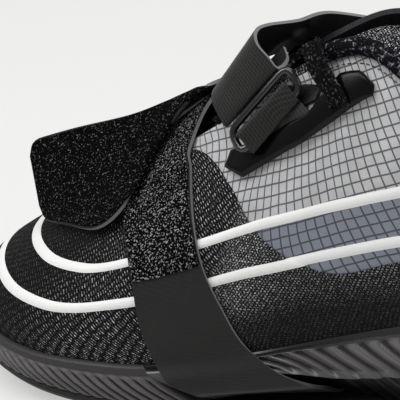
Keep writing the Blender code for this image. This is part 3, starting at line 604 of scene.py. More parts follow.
cup_rubber = rubber_finish("cup rubber", (0.075, 0.071, 0.071), roughness=0.44, grain=0.0005)
tree = cup_rubber.node_tree
# Painted shade: the grooves between the ribs are darkened by how deep they lie, and the rand band above them
# is darker than the ribs.
groove_shade_and_band = marked(tree, "groove").ramp(*RIB_GROOVE_SHADE) * marked(tree, "share").ramp(*RAND_TONE)
shade = groove_shade_and_band.blend((0.006, 0.006, 0.006), (0.085, 0.080, 0.080))
shade.to(tree.nodes["Principled BSDF"], "Base Color")
shares = np.linspace(0, 1, CUP_ROWS)
outsets = np.interp(shares, *zip(*CUP_PROFILE))
front_rows, back_rows, marks = [], [], {"length": [], "share": [], "out": []}
for share, outset in zip(shares, outsets):
    outer_end, inner_end = joint_lengths(share, outset)
    lengths = np.linspace(outer_end, inner_end, CUP_COLUMNS)
    station = station_at(lengths)
    level = sole_heights(station, share)
    front_rows.append(beside(station, np.full(CUP_COLUMNS, outset), level))
    back_rows.append(beside(station, np.full(CUP_COLUMNS, -SEAT_LEDGE), level))
    marks["length"].append(lengths)
    marks["share"].append(np.full(CUP_COLUMNS, share))
    marks["out"].append(np.concatenate([outward(station), np.zeros((CUP_COLUMNS, 1))], axis=1))
marks = {label: np.array(values) for label, values in marks.items()}
front, back = np.array(front_rows), np.array(back_rows)
back[:, :, 0] = np.minimum(back[:, :, 0], joint_x(back[:, :, 2]))
cup = skin("cup_wall", front, back, chart_of(front), (cup_rubber,) * 3, marks=marks)
cup = grow("forefoot_cup_wall", cup, rib_tree, cup_rubber)
fix(cup, "cup_rubber", "forefoot_cup")

# Heel wedge: one hard glossy moulding under heel and waist. Its flutes start under a narrow band and
# sweep down towards the heel, and its lower edge is hollowed at the waist, where the strap passes.
# Painted light: the flutes' faces are lighter than the dark plastic as a painted reflection, and the grooves,
# the top band and the foot near the floor carry painted shade.
ARCH_CROWN = 0.585
ARCH_SPAN = 0.075
ARCH_RISE = 1.4
WEDGE_ROWS = 64
WEDGE_COLUMNS = 760
LIP_FADE = (0.37, 0.50)
FRONT_BORDER = (0.0075, 0.0095)
FLUTE_SIZES = {"Pitch": 0.0078, "Depth": 0.0028, "Slant": 0.034, "Top": 0.92}
FLUTE_SWEEP = 1.35
FLUTE_BREADTH = 0.9
FLUTE_TURNOVER = 0.76
FLUTE_FADE = 0.06
FLOOR_SHADE = (0.008, 0.024, 0.05, 1.0)
FLUTE_GROOVE_SHADE = (-0.95, -0.70, 0.08, 1.0)
BAND_SHADE = (0.895, 0.925, 1.0, 0.10)
EXTRA_SHARES = (0.3625, 0.3725, 0.917, 0.922)
# share of the wall's height, outset, and how far it is tucked in at the waist
WEDGE_PROFILE = (
    (0.00, 0.0050, 1.0),
    (0.36, 0.0052, 1.0),
    (0.385, 0.0056, 0.0),
    (0.60, 0.0054, 0.0),
    (0.86, 0.0048, 0.0),
    (0.915, 0.0040, 0.0),
    (0.925, 0.0014, 0.0),
    (1.00, 0.0008, 0.0),
)
flute_tree, given = new_tree("Wedge flutes", FLUTE_SIZES)
length, share, front = (named(flute_tree, label) for label in ("length", "share", "front"))
below = (1.0 - share / given["Top"]).do("MAXIMUM", 0.0)
sweep = given["Slant"] * below**FLUTE_SWEEP
phase = ((abs(length) - sweep) / given["Pitch"]).do("FRACT")
slope = phase**FLUTE_BREADTH - 1.0 - phase.ramp(FLUTE_TURNOVER, 1.0, smooth=True)
fade = below.ramp(0.0, FLUTE_FADE, smooth=True)
calm = named(flute_tree, "calm")
carve(flute_tree, given, slope * fade * (given["Depth"] * front) * calm, slope * calm * fade)

wedge_plastic, tree, shader = finish_of("wedge plastic", (0.095, 0.090, 0.090), 0.24, specular=0.7)
# Painted shade: colour and specular fall off towards the floor, under the overhang.
lifted = parts_of(places(tree, "Object"))[2].ramp(*FLOOR_SHADE, smooth=True)
(lifted * 0.6).to(shader, "Specular IOR Level")
# The faces' colour is a painted reflection of the lamps, lighter than the dark plastic. The grooves and the
# band under the upper get painted shade.
tone = marked(tree, "border").blend((0.095, 0.090, 0.090), (0.070, 0.067, 0.067))
groove_shade_and_band = marked(tree, "groove").ramp(*FLUTE_GROOVE_SHADE) * marked(tree, "share").ramp(*BAND_SHADE)
tone.scaled(lifted * groove_shade_and_band).to(shader, "Base Color")
emboss(shader, object_noise(tree, 0.0012), 0.00003)
shares = np.sort(np.append(np.linspace(0, 1, WEDGE_ROWS - len(EXTRA_SHARES)), EXTRA_SHARES))
levels, *columns = zip(*WEDGE_PROFILE)
outsets, tucks = (np.interp(shares, levels, column) for column in columns)
front_rows, back_rows, marks = [], [], {"length": [], "share": [], "out": [], "calm": [], "border": []}
for share, outset, tuck in zip(shares, outsets, tucks):
    outer_end, inner_end = joint_lengths(share, outset)
    lengths = np.linspace(inner_end, outer_end + OUTLINE, WEDGE_COLUMNS)
    station = station_at(lengths)
    crown = np.exp(-(((section_at("along", station) - ARCH_CROWN) / ARCH_SPAN) ** 2))
    level = sole_heights(station, share ** (1 / (1 + ARCH_RISE * crown)))
    depth = waist_at(station) * WAIST_DEPTH
    flush = beside(station, np.full(WEDGE_COLUMNS, outset), level)
    border = smoothstep(flush[:, 0] - joint_x(level), *FRONT_BORDER)
    front_rows.append(beside(station, outset - tuck * border * depth, level))
    back_rows.append(beside(station, -SEAT_LEDGE - depth * smoothstep(1 - share, 0.0, 0.2), level))
    marks["length"].append(np.where(lengths > OUTLINE - TOE_LENGTH, lengths - OUTLINE, lengths))
    marks["share"].append(np.full(WEDGE_COLUMNS, share))
    marks["calm"].append((1 - waist_at(station) * (1 - smoothstep(share, *LIP_FADE))) * border)
    marks["border"].append(1 - border)
    marks["out"].append(np.concatenate([outward(station), np.zeros((WEDGE_COLUMNS, 1))], axis=1))
marks = {label: np.array(values) for label, values in marks.items()}
front, back = np.array(front_rows), np.array(back_rows)
front[:, :, 0] = np.maximum(front[:, :, 0], joint_x(front[:, :, 2]) + CLEARANCE)
back[:, :, 0] = np.maximum(back[:, :, 0], joint_x(back[:, :, 2]) + CLEARANCE)
wedge = skin("wedge_wall", front, back, chart_of(front), (wedge_plastic,) * 3, marks=marks)
wedge = grow("heel_wedge", wedge, flute_tree, wedge_plastic)
fix(wedge, "wedge_plastic", "heel_midsole")

# Insole: a thin foam sheet with a cloth face, cut to the outline of the seat and laid loose in it,
# on the cup and the heel wedge.
INSOLE_CLEARANCE = 0.0005
INSOLE_THICKNESS = 0.004
# inset and height of the bevels under and over the sheet's edge
INSOLE_FOOT = (0.0003, 0.0008)
INSOLE_EDGE = (0.0010, 0.0012)


def woven_finish(name, color, other, roughness, pitch, depth, sheen=0.0):
    """Plain weave that follows the piece's map: threads over and under at a pitch in metres."""
    made, tree, shader = finish_of(name, color, roughness, specular=0.15, sheen=sheen)
    across, along = ((p * (2 * math.pi / pitch)).do("SINE") for p in parts_of(places(tree, "UV"))[:2])
    height = (across * along).do("MULTIPLY_ADD", 0.5, 0.5)
    rough = object_noise(tree, pitch * 2).do("MULTIPLY_ADD", 0.6, height * 0.7)
    rough.blend(color, other).to(shader, "Base Color")
    emboss(shader, rough, depth)
    return made


insole_cloth = woven_finish(
    "insole cloth", (0.012, 0.012, 0.013), (0.035, 0.035, 0.038), roughness=0.9, pitch=0.0009, depth=0.0002
)
station = station_at(np.arange(SOLE_COLUMNS) / SOLE_COLUMNS * OUTLINE - TOE_LENGTH)
inset = -SEAT_LEDGE - SEAT_CLEARANCE - INSOLE_CLEARANCE
floor = bite(station) - CLEARANCE - SEAT_DEPTH + INSOLE_CLEARANCE
loops = [
    beside(station, inset - INSOLE_FOOT[0], floor),
    beside(station, inset, floor + INSOLE_FOOT[1]),
    beside(station, inset, floor + INSOLE_THICKNESS - INSOLE_EDGE[1]),
    beside(station, inset - INSOLE_EDGE[0], floor + INSOLE_THICKNESS),
]
sock = plate("insole_sheet", loops, insole_cloth)
fix(sock, "foam", "insole")

# Upper: a hollow shell of light ripstop cloth with a dark lining, cut open at collar and throat and
# lasted onto the sole.
UPPER_WALL = 0.0022
LAYER_STEP = 0.0008
UPPER_ROWS = 64
UPPER_COLUMNS = 460
GRID_PITCH = 0.0043
GRID_LINE = 0.00042
GRID_SOFTNESS = 0.0002
GRID_DRIFT = 0.0022
GRID_DEPTH = 0.00025
DRIFT_SCALE = 40.0
FINE_PITCH = 0.0007
CLOUD_SIZE = 0.006
CLOTH_DARK = (0.40, 0.40, 0.41)
CLOTH_LIGHT = (0.66, 0.66, 0.67)
BAND_COLOR = (0.22, 0.235, 0.28)
THREAD_COLOR = (0.045, 0.047, 0.055)
THREAD_COVER = 0.86
FOLD_DEPTH = 0.00035
FOLD_RANGE = (0.35, 0.60)
SHELL_SINK = 0.0003
GRID_TURN = 0.06
GRID_LEAN = -0.78
LOW_LINE = 0.0200
HIGH_LINE = 0.0390
LINE_RISE = 0.0135
LINE_RISE_RANGE = (0.12, 0.42)
LINE_FALL_RANGE = (0.64, 0.92)
LINE_FALL = 0.75
RIM_START = 6.85
RIM_END = 19.2
RIM_TUCK = 0.03
RIM_FADE = (0.0, 0.4)


def upper_normal(station, t):
    """Unit vector out of the upper's outer face."""
    along = upper_point(station + STATION_STEP, t) - upper_point(station - STATION_STEP, t)
    above, below = t + T_STEP, np.maximum(t - T_STEP, 0)
    rising = upper_point(station, above) - upper_point(station, below)
    return unit(np.cross(rising, along))


def upper_point(station, t, outset=0.0):
    """A point of the upper's outer face: t is 0 at the sole and 1 at the collar or throat edge."""
    station, t = np.broadcast_arrays(np.asarray(station, float), np.asarray(t, float))
    out = np.concatenate([outward(station), np.zeros(station.shape + (1,))], axis=-1)
    up = np.zeros_like(out)
    up[..., 2] = 1
    foot = beside(station, 0.0, bite(station))
    top = np.stack(
        [
            share_to_x(section_at("top_along", station)),
            section_at("top_across", station) * BALL_WIDTH,
            section_at("top_up", station) * COLLAR_HEIGHT,
        ],
        axis=-1,
    )

    def handle(name):
        return section_at(name, station)[..., None] * COLLAR_HEIGHT

    low = foot + up * handle("rise") + out * handle("bulge")
    high = top + out * handle("reach") - up * handle("drop")
    t = t[..., None]
    spot = foot * (1 - t) ** 3 + low * 3 * t * (1 - t) ** 2 + high * 3 * t**2 * (1 - t) + top * t**3
    if np.any(outset):
        spot = spot + upper_normal(station, t[..., 0]) * np.asarray(outset)[..., None]
    return spot


def wrap_map(grid, lengths):
    """Maps the upper's cloth along the outline and up the wall. On the outer side it leans back."""
    station = station_at(lengths)
    out = outward(station)
    tangent = np.stack([-out[:, 1], out[:, 0]], axis=1)
    place = grid[..., :2] - grid[:1, :, :2]
    u = lengths + (place * tangent).sum(axis=-1)
    run = (place * out).sum(axis=-1)
    steps = np.hypot(np.diff(run, axis=0), np.diff(grid[..., 2], axis=0))
    v = np.concatenate([np.zeros((1, grid.shape[1])), np.cumsum(steps, axis=0)])
    lean = GRID_LEAN * (0.5 + 0.5 * tangent[:, 0])
    return np.stack([u + lean * v, v], axis=-1)


def height_to_t(station, height):
    """The t at a length up the cloth from the sole."""
    t = np.linspace(0, 1, 160)[:, None]
    wall = upper_point(station[None, :], t)
    length = run_lengths(wall)
    heights = np.broadcast_to(height, len(station))
    return np.array([np.interp(h, length[:, k], t[:, 0]) for k, h in enumerate(heights)])


def lines_across(place, pitch, width, soft):
    """1 on lines at a pitch along one direction of a map, and 0 between them."""
    off = abs((place / pitch).do("FRACT") - 0.5)
    return off.ramp(width / 2 / pitch, (width / 2 + soft) / pitch, 1.0, 0.0)


def turned_map(tree, angle, drift=0.0):
    """The two directions of the piece's map, turned by an angle, with a slow drift in the weave."""
    place = places(tree, "UV")
    place = wire(tree, "ShaderNodeVectorRotate", place, None, angle, rotation_type="Z_AXIS")
    if drift:
        shift = wire(tree, "ShaderNodeTexNoise", place, DRIFT_SCALE, 2.0, out="Color")
        shift = wire(tree, "ShaderNodeVectorMath", shift, (0.5, 0.5, 0.5), operation="SUBTRACT")
        place = wire(tree, "ShaderNodeVectorMath", place, shift.scaled(drift), operation="ADD")
    return parts_of(place)[:2]


def ripstop_finish():
    """Thin light cloth with a grid of dark threads, and a blue-grey band between the two lines."""
    made, tree, shader = finish_of("ripstop cloth", (0.50, 0.50, 0.51), 0.75, specular=0.25)
    flat = turned_map(tree, GRID_TURN, GRID_DRIFT)
    across, along = (lines_across(p, GRID_PITCH, GRID_LINE, GRID_SOFTNESS) for p in flat)
    threads = across.do("MAXIMUM", along)
    across, along = ((p * (2 * math.pi / FINE_PITCH)).do("SINE") for p in flat)
    fine = across * along
    cloth = object_noise(tree, CLOUD_SIZE).blend(CLOTH_DARK, CLOTH_LIGHT)
    cloth = cloth.scaled(fine.ramp(-1.0, 1.0, 0.86, 1.0))
    cloth = marked(tree, "band").blend(cloth, BAND_COLOR)
    (threads * THREAD_COVER).blend(cloth, THREAD_COLOR).to(shader, "Base Color")
    emboss(shader, threads.do("MULTIPLY_ADD", 0.8, fine * 0.15), GRID_DEPTH)
    return made


def folds(station, t):
    """Soft folds of the thin cloth, in metres."""
    wave = np.sin(station * 5.1 + t * 7.0) * np.sin(t * 9.0 + station * 1.7 + 0.6)
    wave += 0.5 * np.sin(station * 11.0 - t * 13.0)
    return FOLD_DEPTH * wave * smoothstep(t, *FOLD_RANGE) * smoothstep(1 - t, 0.0, 0.1)


def rise_of_lines(station):
    """How much higher the piping runs behind the toe. It comes down again under the low collar."""
    back = 1 - section_at("along", station)
    fall = LINE_FALL * smoothstep(back, *LINE_FALL_RANGE)
    return LINE_RISE * smoothstep(back, *LINE_RISE_RANGE) * (1 - fall)


ripstop = ripstop_finish()
lining = woven_finish(
    "lining", (0.014, 0.014, 0.016), (0.040, 0.040, 0.045), roughness=0.9, pitch=0.0016, depth=0.0003
)
lengths = np.arange(UPPER_COLUMNS) / UPPER_COLUMNS * OUTLINE - TOE_LENGTH
station = station_at(lengths)
stations = np.broadcast_to(station, (UPPER_ROWS, UPPER_COLUMNS))
under_rim = smoothstep(RIM_START - stations, *RIM_FADE) + smoothstep(stations - RIM_END, *RIM_FADE)
t = np.linspace(0, 1, UPPER_ROWS)[:, None] * (1 + RIM_TUCK * under_rim)
layer = section_at("layer", stations)
line_rise = rise_of_lines(station)
high_t = height_to_t(station, HIGH_LINE + line_rise)
front = upper_point(stations, t, folds(stations, t) - SHELL_SINK * smoothstep(layer - t, -0.01, 0.01))
back = upper_point(stations, t, -UPPER_WALL)
chart = wrap_map(np.concatenate([front, front[:, :1]], axis=1), np.append(lengths, OUTLINE - TOE_LENGTH))
marks = {"band": smoothstep(high_t[None, :] - t, -0.012, 0.0)}
quarter = skin("upper_shell", front, back, chart, (ripstop, lining, lining), closed=True, marks=marks)
fix(quarter, "upper_cloth", "upper")

# Lower layer: a black engineered mesh over the shell, from the sole up to a cut edge. Over the toe its
# links are large and open. Towards the heel it turns into a fine knit that is plain near the sole.
# Its light flecks are painted glints, strongest round the middle of the shoe and dimmer at toe and heel.
LAYER_ROWS = 40
LINK_PITCH = 0.0031
LINK_TURN = 0.82
LINK_SQUEEZE = 0.88
LINK_DRIFT = 0.0009
LINK_STROKES = 3
LINK_EDGE = (0.34, 0.50)
LINK_DEPTH = 0.0007
STROKE_EDGE = (-0.1, 0.8)
KNIT_PITCH = 0.00115
MESH_BLACK = (0.006, 0.006, 0.006)
GLINT_COLOR = (0.72, 0.72, 0.73)
YARN_SIZE = 1 / 1900
GLINT_FLECKS = (0.50, 0.60)
LAYER_SINK = 0.0002
LAYER_BEVEL = 0.0004
KNIT_FROM = 0.655
PLAIN_RANGE = (0.10, 0.24)
TOE_DIM_FROM = 0.93
HEEL_DIM_FROM = 0.66
DIM_REACH = 0.14


def link_height(u, v, pitch, strokes):
    """Rows of oval links, each row set off by half a link, and each link made of parallel strokes."""
    off = (v / pitch).do("FLOOR").do("MODULO", 2.0) * 0.5
    x = (u / pitch + off).do("FRACT") - 0.5
    y = (v / pitch).do("FRACT") - 0.5
    inside = (x * x + y * y).do("SQRT").ramp(*LINK_EDGE, 1.0, 0.0)
    if not strokes:
        return inside
    return inside * (x * (2 * math.pi * strokes)).do("COSINE").ramp(*STROKE_EDGE)


def mesh_finish():
    """Black knitted mesh with links that give way to a fine knit, and light flecks on its yarn that are
    painted glints.
    """
    made, tree, shader = finish_of("mesh cloth", MESH_BLACK, 0.7, specular=0.06)
    flat = turned_map(tree, LINK_TURN, LINK_DRIFT)
    links, dots = link_height(*flat, LINK_PITCH, LINK_STROKES), link_height(*flat, KNIT_PITCH, 0)
    dots = dots * marked(tree, "plain").do("MULTIPLY_ADD", -0.85, 1.0)
    height = wire(tree, "ShaderNodeMix", marked(tree, "knit"), links, dots, data_type="FLOAT")
    yarn = object_noise(tree, YARN_SIZE, 1.0, 0.5)
    # Painted glints: light flecks on the raised yarn.
    bright = height * yarn.ramp(*GLINT_FLECKS).do("MULTIPLY_ADD", 0.9, 0.1) * marked(tree, "painted_glint")
    bright.blend(MESH_BLACK, GLINT_COLOR).to(shader, "Base Color")
    emboss(shader, yarn.do("MULTIPLY_ADD", 0.25, height), LINK_DEPTH)
    return made


mesh_cloth = mesh_finish()
share = np.linspace(0, 1, LAYER_ROWS)[:, None]
lengths = np.arange(UPPER_COLUMNS) / UPPER_COLUMNS * OUTLINE
stations = np.broadcast_to(station_at(lengths), (LAYER_ROWS, UPPER_COLUMNS))
layer = section_at("layer", stations)
t = layer * share
outset = LAYER_STEP - LAYER_BEVEL * smoothstep(share, 0.985, 1.0) + 0 * t
front = upper_point(stations, t, outset)
back = upper_point(stations, t, np.full_like(t, -LAYER_SINK))
chart = wrap_map(np.concatenate([front, front[:, :1]], axis=1), np.append(lengths, OUTLINE))
chart *= [LINK_SQUEEZE, 1.0]
along = section_at("along", stations)
marks = {"knit": smoothstep(KNIT_FROM - along, 0.0, 0.06), "plain": 1 - smoothstep(t, *PLAIN_RANGE)}
# Painted glints: strongest round the middle of the shoe, dimmer at toe and heel.
marks["painted_glint"] = 0.16 + 0.84 * smoothstep(TOE_DIM_FROM - along, 0.0, DIM_REACH)
marks["painted_glint"] *= 1 - 0.65 * smoothstep(HEEL_DIM_FROM - along, 0.0, DIM_REACH)
overlay = skin("lower_layer", front, back, chart, (mesh_cloth,) * 3, closed=True, marks=marks)
fix(overlay, "upper_cloth")

# Piping: two white lines round the shoe, each a flat tape bonded to the cloth. It steps over the edge
# of the mesh layer.
PIPING_WIDTH = 0.0045
PIPING_HEIGHT = 0.0005
PIPING_PROFILE = (0.0, 0.35, 0.8, 1.0, 1.0, 1.0, 0.8, 0.35, 0.0)
PIPING_COLUMNS = 700
PIPING_GAP = 0.00005
PIPING_SINK = 0.0004
LAYER_RAMP = (-0.012, 0.004)
white_tape, tree, shader = finish_of("white tape", (0.80, 0.80, 0.79), 0.5)
emboss(shader, object_noise(tree, 0.0008), 0.00008)
lengths = np.arange(PIPING_COLUMNS) / PIPING_COLUMNS * OUTLINE - TOE_LENGTH
station = station_at(lengths)
line_rise = rise_of_lines(station)
profile = np.array(PIPING_PROFILE)[:, None]
across = np.linspace(-0.5, 0.5, len(profile))[:, None] * PIPING_WIDTH
for name, level in (("piping_low", LOW_LINE), ("piping_high", HIGH_LINE)):
    t = np.array([height_to_t(station, level + line_rise + a) for a in across[:, 0]])
    stations = np.broadcast_to(station, t.shape)
    on_layer = smoothstep(section_at("layer", stations) - t, *LAYER_RAMP)
    ground = LAYER_STEP * on_layer + folds(stations, t) * (1 - on_layer)
    front = upper_point(stations, t, ground + PIPING_HEIGHT * profile + PIPING_GAP)
    back = upper_point(stations, t, ground - PIPING_SINK)
    tape = skin(name, front, back, chart_of(front, closed=True), (white_tape,) * 3, closed=True)
    fix(tape, "upper_cloth")

# Collar binding: a braided tube of black and light yarn, firm and sewn over the collar's edge, which
# reaches a little way up into it.
RIM_WIDTH = 0.0065
RIM_HEIGHT = 0.0065
RIM_SEAT = 0.0008
RIM_COLUMNS = 420
RIM_SIDES = 28


def rings_round(path, run, up, radii, sides):
    """Oval rings of points round a path, each square to its run."""
    side = unit(np.cross(run, up))
    top = np.cross(side, run)
    angles = (np.arange(sides) * 2 * math.pi / sides)[None, :, None]
    across = side[:, None] * radii[0] * np.cos(angles)
    return path[:, None] + across + top[:, None] * radii[1] * np.sin(angles)


def tube(name, path, radii, up, sides, finish):
    """An oval tube along a path with its ends closed, mapped along and round it."""
    count = len(path)
    points = rings_round(path, unit(np.gradient(path, axis=0)), up, radii, sides).reshape(-1, 3)
    r, c, faces = quads(count, sides)
    length = run_lengths(path)
    u = np.stack([length[r], length[r], length[r + 1], length[r + 1]], axis=1)
    v = np.stack([c, c + 1, c + 1, c], axis=1) * math.pi * (radii[0] + radii[1]) / sides
    i = np.arange(sides // 2 - 1)
    cap = np.stack([i, i + 1, sides - 2 - i, sides - 1 - i], axis=1)
    caps = np.concatenate([cap[:, ::-1], cap + (count - 1) * sides])
    chart = np.concatenate([np.stack([u, v], axis=-1), np.zeros((len(caps), 4, 2))])
    faces = np.concatenate([faces, caps])
    if inside_out(points, faces):
        faces, chart = faces[:, ::-1], chart[:, ::-1]
    return make_piece(name, points, faces, chart, [finish])


def braid_finish(name, dark, light, strand, share, depth, roughness=0.85):
    """Strands that cross over and under along the piece's map, some of them of light yarn."""
    made, tree, shader = finish_of(name, dark, roughness, specular=0.05)
    u, v = turned_map(tree, 0.0)
    one, two = ((p * (math.pi / strand)).do("SINE") for p in (u + v, u - v))
    height = (one * two).do("MULTIPLY_ADD", 0.5, 0.5)
    speck = object_noise(tree, strand / 0.55, 2.0, 0.7)
    light_yarn = speck.ramp(0.62 - share, 0.72 - share)
    (light_yarn * height).blend(dark, light).to(shader, "Base Color")
    emboss(shader, speck.do("MULTIPLY_ADD", 0.6, height), depth)
    return made


braid = braid_finish(
    "braided binding", (0.006, 0.006, 0.007), (0.30, 0.30, 0.36), strand=0.0011, share=0.10, depth=0.0006
)


def rim_stations(inset, half):
    """Stations along the collar from its outer end round the heel to its inner end."""
    outer = np.linspace(RIM_START - inset, 0, half)
    return np.concatenate([outer, np.linspace(len(SECTIONS), RIM_END + inset, half)[1:]])


station = rim_stations(0.0, RIM_COLUMNS // 2)
path = upper_point(station, np.ones_like(station), -UPPER_WALL / 2)
run = unit(np.gradient(path, axis=0))
path += unit(np.array([0, 0, 1]) - run * run[:, 2:]) * (RIM_HEIGHT / 2 + RIM_SEAT)
rim = tube("collar_binding", path, (RIM_WIDTH / 2, RIM_HEIGHT / 2), (0, 0, 1), RIM_SIDES, braid)
fix(rim, "braid", "collar_rim")

# Tongue: thin foam in dark knit under the throat, fixed at its foot under the upper. A light cord
# binds its top edge.
TONGUE_THICKNESS = 0.0040
TONGUE_FOOT = 11.2
TONGUE_TOP = 6.5
TONGUE_T = 0.955
TONGUE_OUTSET = -0.0062
TONGUE_CROWN = 0.0042
TONGUE_REACH = 0.016
TONGUE_NARROWING = 0.06
TONGUE_ROWS = 120
TONGUE_COLUMNS = 60
CORD_RADIUS = 0.0008


def smooth_rows(rows, steps):
    """More rows between the given ones, on a smooth curve through them."""
    rows = np.asarray(rows, float)
    ends = np.concatenate([[2 * rows[0] - rows[1]], rows, [2 * rows[-1] - rows[-2]]])
    result = []
    for k in range(len(rows) - 1):
        before, start, end, after = ends[k : k + 4]
        for t in np.arange(steps) / steps:
            result.append(between(before, start, end, after, t))
    return np.array([*result, rows[-1]])


def grid_normal(grid):
    """Unit normals of a grid of points, square to the mean of the runs before and after each row."""
    run = unit(np.diff(grid, axis=0))
    tangent = np.concatenate([run[:1], run[:-1] + run[1:], run[-1:]])
    return unit(np.cross(tangent, np.gradient(grid, axis=1)))


def knit_finish():
    """Knit of short raised dashes, with painted glints on some of them."""
    made, tree, shader = finish_of("tongue knit", (0.006, 0.006, 0.006), 0.8, specular=0.05)
    u, v = turned_map(tree, 0.5)
    dash = link_height(u, v * 2.2, 0.002, 0)
    yarn = object_noise(tree, 1 / 1500, 1.0, 0.5)
    # Painted glints: light flecks on some of the dashes.
    shade = (dash * yarn.ramp(0.52, 0.64)).blend((0.004, 0.004, 0.0045), (0.60, 0.60, 0.62))
    shade.to(shader, "Base Color")
    emboss(shader, dash, 0.0004)
    return made


tongue_knit = knit_finish()
rows = []
for at in np.linspace(TONGUE_FOOT, TONGUE_TOP, 9):
    outer = upper_point(at, TONGUE_T, TONGUE_OUTSET)
    inner = upper_point(2 * TOE_SECTION - at, TONGUE_T, TONGUE_OUTSET)
    across = np.linspace(0, 1, TONGUE_COLUMNS)[:, None]
    line = outer + (inner - outer) * across
    line[:, 2] += TONGUE_CROWN * np.sin(math.pi * across[:, 0])
    rows.append(line)
rise = unit(rows[-1].mean(axis=0) - rows[-2].mean(axis=0))
for step in (1, 2):
    line = rows[-1] + rise * TONGUE_REACH / 2
    line[:, 1] = line[:, 1].mean() + (line[:, 1] - line[:, 1].mean()) * (1 - TONGUE_NARROWING * step)
    rows.append(line)
rows = smooth_rows(rows, TONGUE_ROWS // 10)
normal = grid_normal(rows)
normal *= np.sign(normal[..., 2].mean())
edge_off = np.abs(np.linspace(-1, 1, TONGUE_COLUMNS))[None, :, None]
half = TONGUE_THICKNESS / 2 * (1 - 0.75 * edge_off**6)
tongue = skin("tongue_pad", rows + normal * half, rows - normal * half, chart_of(rows), (tongue_knit,) * 3)
fix(tongue, "knit", "tongue")
cord_tree, given = new_tree("Binding cord", {"Radius": CORD_RADIUS})
line = wire(cord_tree, "GeometryNodeMeshToCurve", given["Geometry"])
circle = wire(cord_tree, "GeometryNodeCurvePrimitiveCircle", 10, given["Radius"], out="Curve")
body = wire(cord_tree, "GeometryNodeCurveToMesh", line, circle, None, True)
end_tree(cord_tree, given, body)


def thread_line(name, path):
    """A bare line of points, for a tree to follow."""
    mesh = bpy.data.meshes.new(name)
    mesh.from_pydata(np.asarray(path).tolist(), [(k, k + 1) for k in range(len(path) - 1)], [])
    return add_object(name, mesh)


light_cord, tree, shader = finish_of("light cord", (0.42, 0.42, 0.44), 0.7)
emboss(shader, object_noise(tree, 0.0005), 0.0001)
edge_line = rows[-1] + normal[-1] * TONGUE_THICKNESS * 0.35
line = thread_line("tongue line", edge_line)
binding = grow("tongue_binding", line, cord_tree, light_cord, Radius=CORD_RADIUS)
fix(binding, "knit")

# Laces: a flat woven lace that zigzags across the throat, clear of the tongue. It turns at the edges of
# the throat.
LACE_WIDTH = 0.0045
LACE_HEIGHT = 0.0018
LACE_LIFT = 0.0015
LACE_FOOT = 8.7
LACE_TOP = 8.2
LACE_CROSSINGS = 4
lace_braid = braid_finish(
    "lace cloth", (0.006, 0.006, 0.006), (0.26, 0.26, 0.28), strand=0.0008, share=0.06, depth=0.0004
)
spots = []
for k, at in enumerate(np.linspace(LACE_FOOT, LACE_TOP, LACE_CROSSINGS + 1)):
    side = at if k % 2 == 0 else 2 * TOE_SECTION - at
    spots.append(upper_point(side, 1.0) + np.array([0, 0, LACE_LIFT]))
path = smooth_rows(np.array(spots), 5)
radii = (LACE_WIDTH / 2, LACE_HEIGHT / 2)
lace = tube("lace_zigzag", smooth_rows(path, 8), radii, up=(0, 0, 1), sides=16, finish=lace_braid)
fix(lace, "lace_cloth", "lace")

# Front strap: a firm satin strap with pale cut edges. It leaves a slot at the waist, crosses the
# instep, turns round a ring on the inner side and comes back as a free end towards the toe.
STRAP_THICKNESS = 0.0013
STRAP_OUTSET = 0.0023
STRAP_COLUMNS = 30
STRAP_STEPS = 12
CORNER_RADIUS = 0.005
PAD_THICKNESS = 0.0007
PAD_MARGIN = 0.0008
PAD_OVERLAP = 0.0001
LOOP_PAD_ROWS = (7.1, 12.5)
HOOK_PAD_LEAD = 4
VIEWER = (0.34, -0.85, 0.41)
EDGE_FLOOR_SHADE = (0.012, 0.034)
PILE_GRAIN = 0.00055
# stations at the toe edge and the heel edge, share of the sole's height, outset, and tuck at the waist
HIDDEN_FOOT = (7.30, 5.85, 0.04, 0.0010, 1.0)
FRONT_FOOT = (
    (7.36, 5.95, 0.10, 0.0084, 1.0),
    (7.42, 6.05, 0.24, 0.0086, 0.6),
    (7.58, 6.22, 0.42, 0.0082, 0.0),
    (7.88, 6.58, 0.72, 0.0076, 0.0),
)
# station and t at the toe edge, and at the heel edge
FRONT_FOLDS = (
    (8.10, 0.050, 6.95, 0.050),
    (8.35, 0.200, 7.25, 0.200),
    (8.70, 0.370, 7.70, 0.380),
    (9.25, 0.550, 8.12, 0.550),
    (9.85, 0.700, 8.50, 0.700),
    (10.40, 0.820, 8.82, 0.830),
    (11.10, 0.930, 9.12, 0.950),
)
# both edges, as shares of the shoe's length, width and height
FLAP_FOLDS = (
    ((0.722, 0.020, 0.715), (0.648, 0.020, 0.830)),
    ((0.728, -0.170, 0.635), (0.680, 0.030, 0.800)),
    ((0.742, -0.325, 0.560), (0.718, 0.040, 0.760)),
    ((0.780, -0.335, 0.495), (0.766, 0.020, 0.722)),
    ((0.838, -0.225, 0.462), (0.842, 0.010, 0.680)),
    ((0.880, -0.130, 0.438), (0.912, 0.020, 0.630)),
)
CREST_ROW = ((0.722, 0.040, 0.668), (0.648, 0.040, 0.792))
# how far each row of the turn drops in t, and its outset beyond the strap's
TURN_STEPS = ((0.020, 0.0008), (0.034, 0.0030), (0.034, 0.0052), (0.014, 0.0072))
RETURN_OUTSETS = (0.0092, 0.0078, 0.0069)


def surface_row(toe_edge, heel_edge, outset, columns):
    """A row across a strap on the upper, between two places given as (station, t)."""
    share = np.linspace(0, 1, columns)
    station = toe_edge[0] + (heel_edge[0] - toe_edge[0]) * share
    t = toe_edge[1] + (heel_edge[1] - toe_edge[1]) * share
    return upper_point(station, t, outset)


def to_point(place):
    """Shares of the length from the heel, the ball's width and the collar's height, as X, Y, Z."""
    along, across, up = place
    return np.array([share_to_x(along), across * BALL_WIDTH, up * COLLAR_HEIGHT])


def free_row(toe_edge, heel_edge, columns):
    """A row across a strap in the air, between two places given as shares of the shoe's sizes."""
    share = np.linspace(0, 1, columns)[:, None]
    return to_point(toe_edge) * (1 - share) + to_point(heel_edge) * share


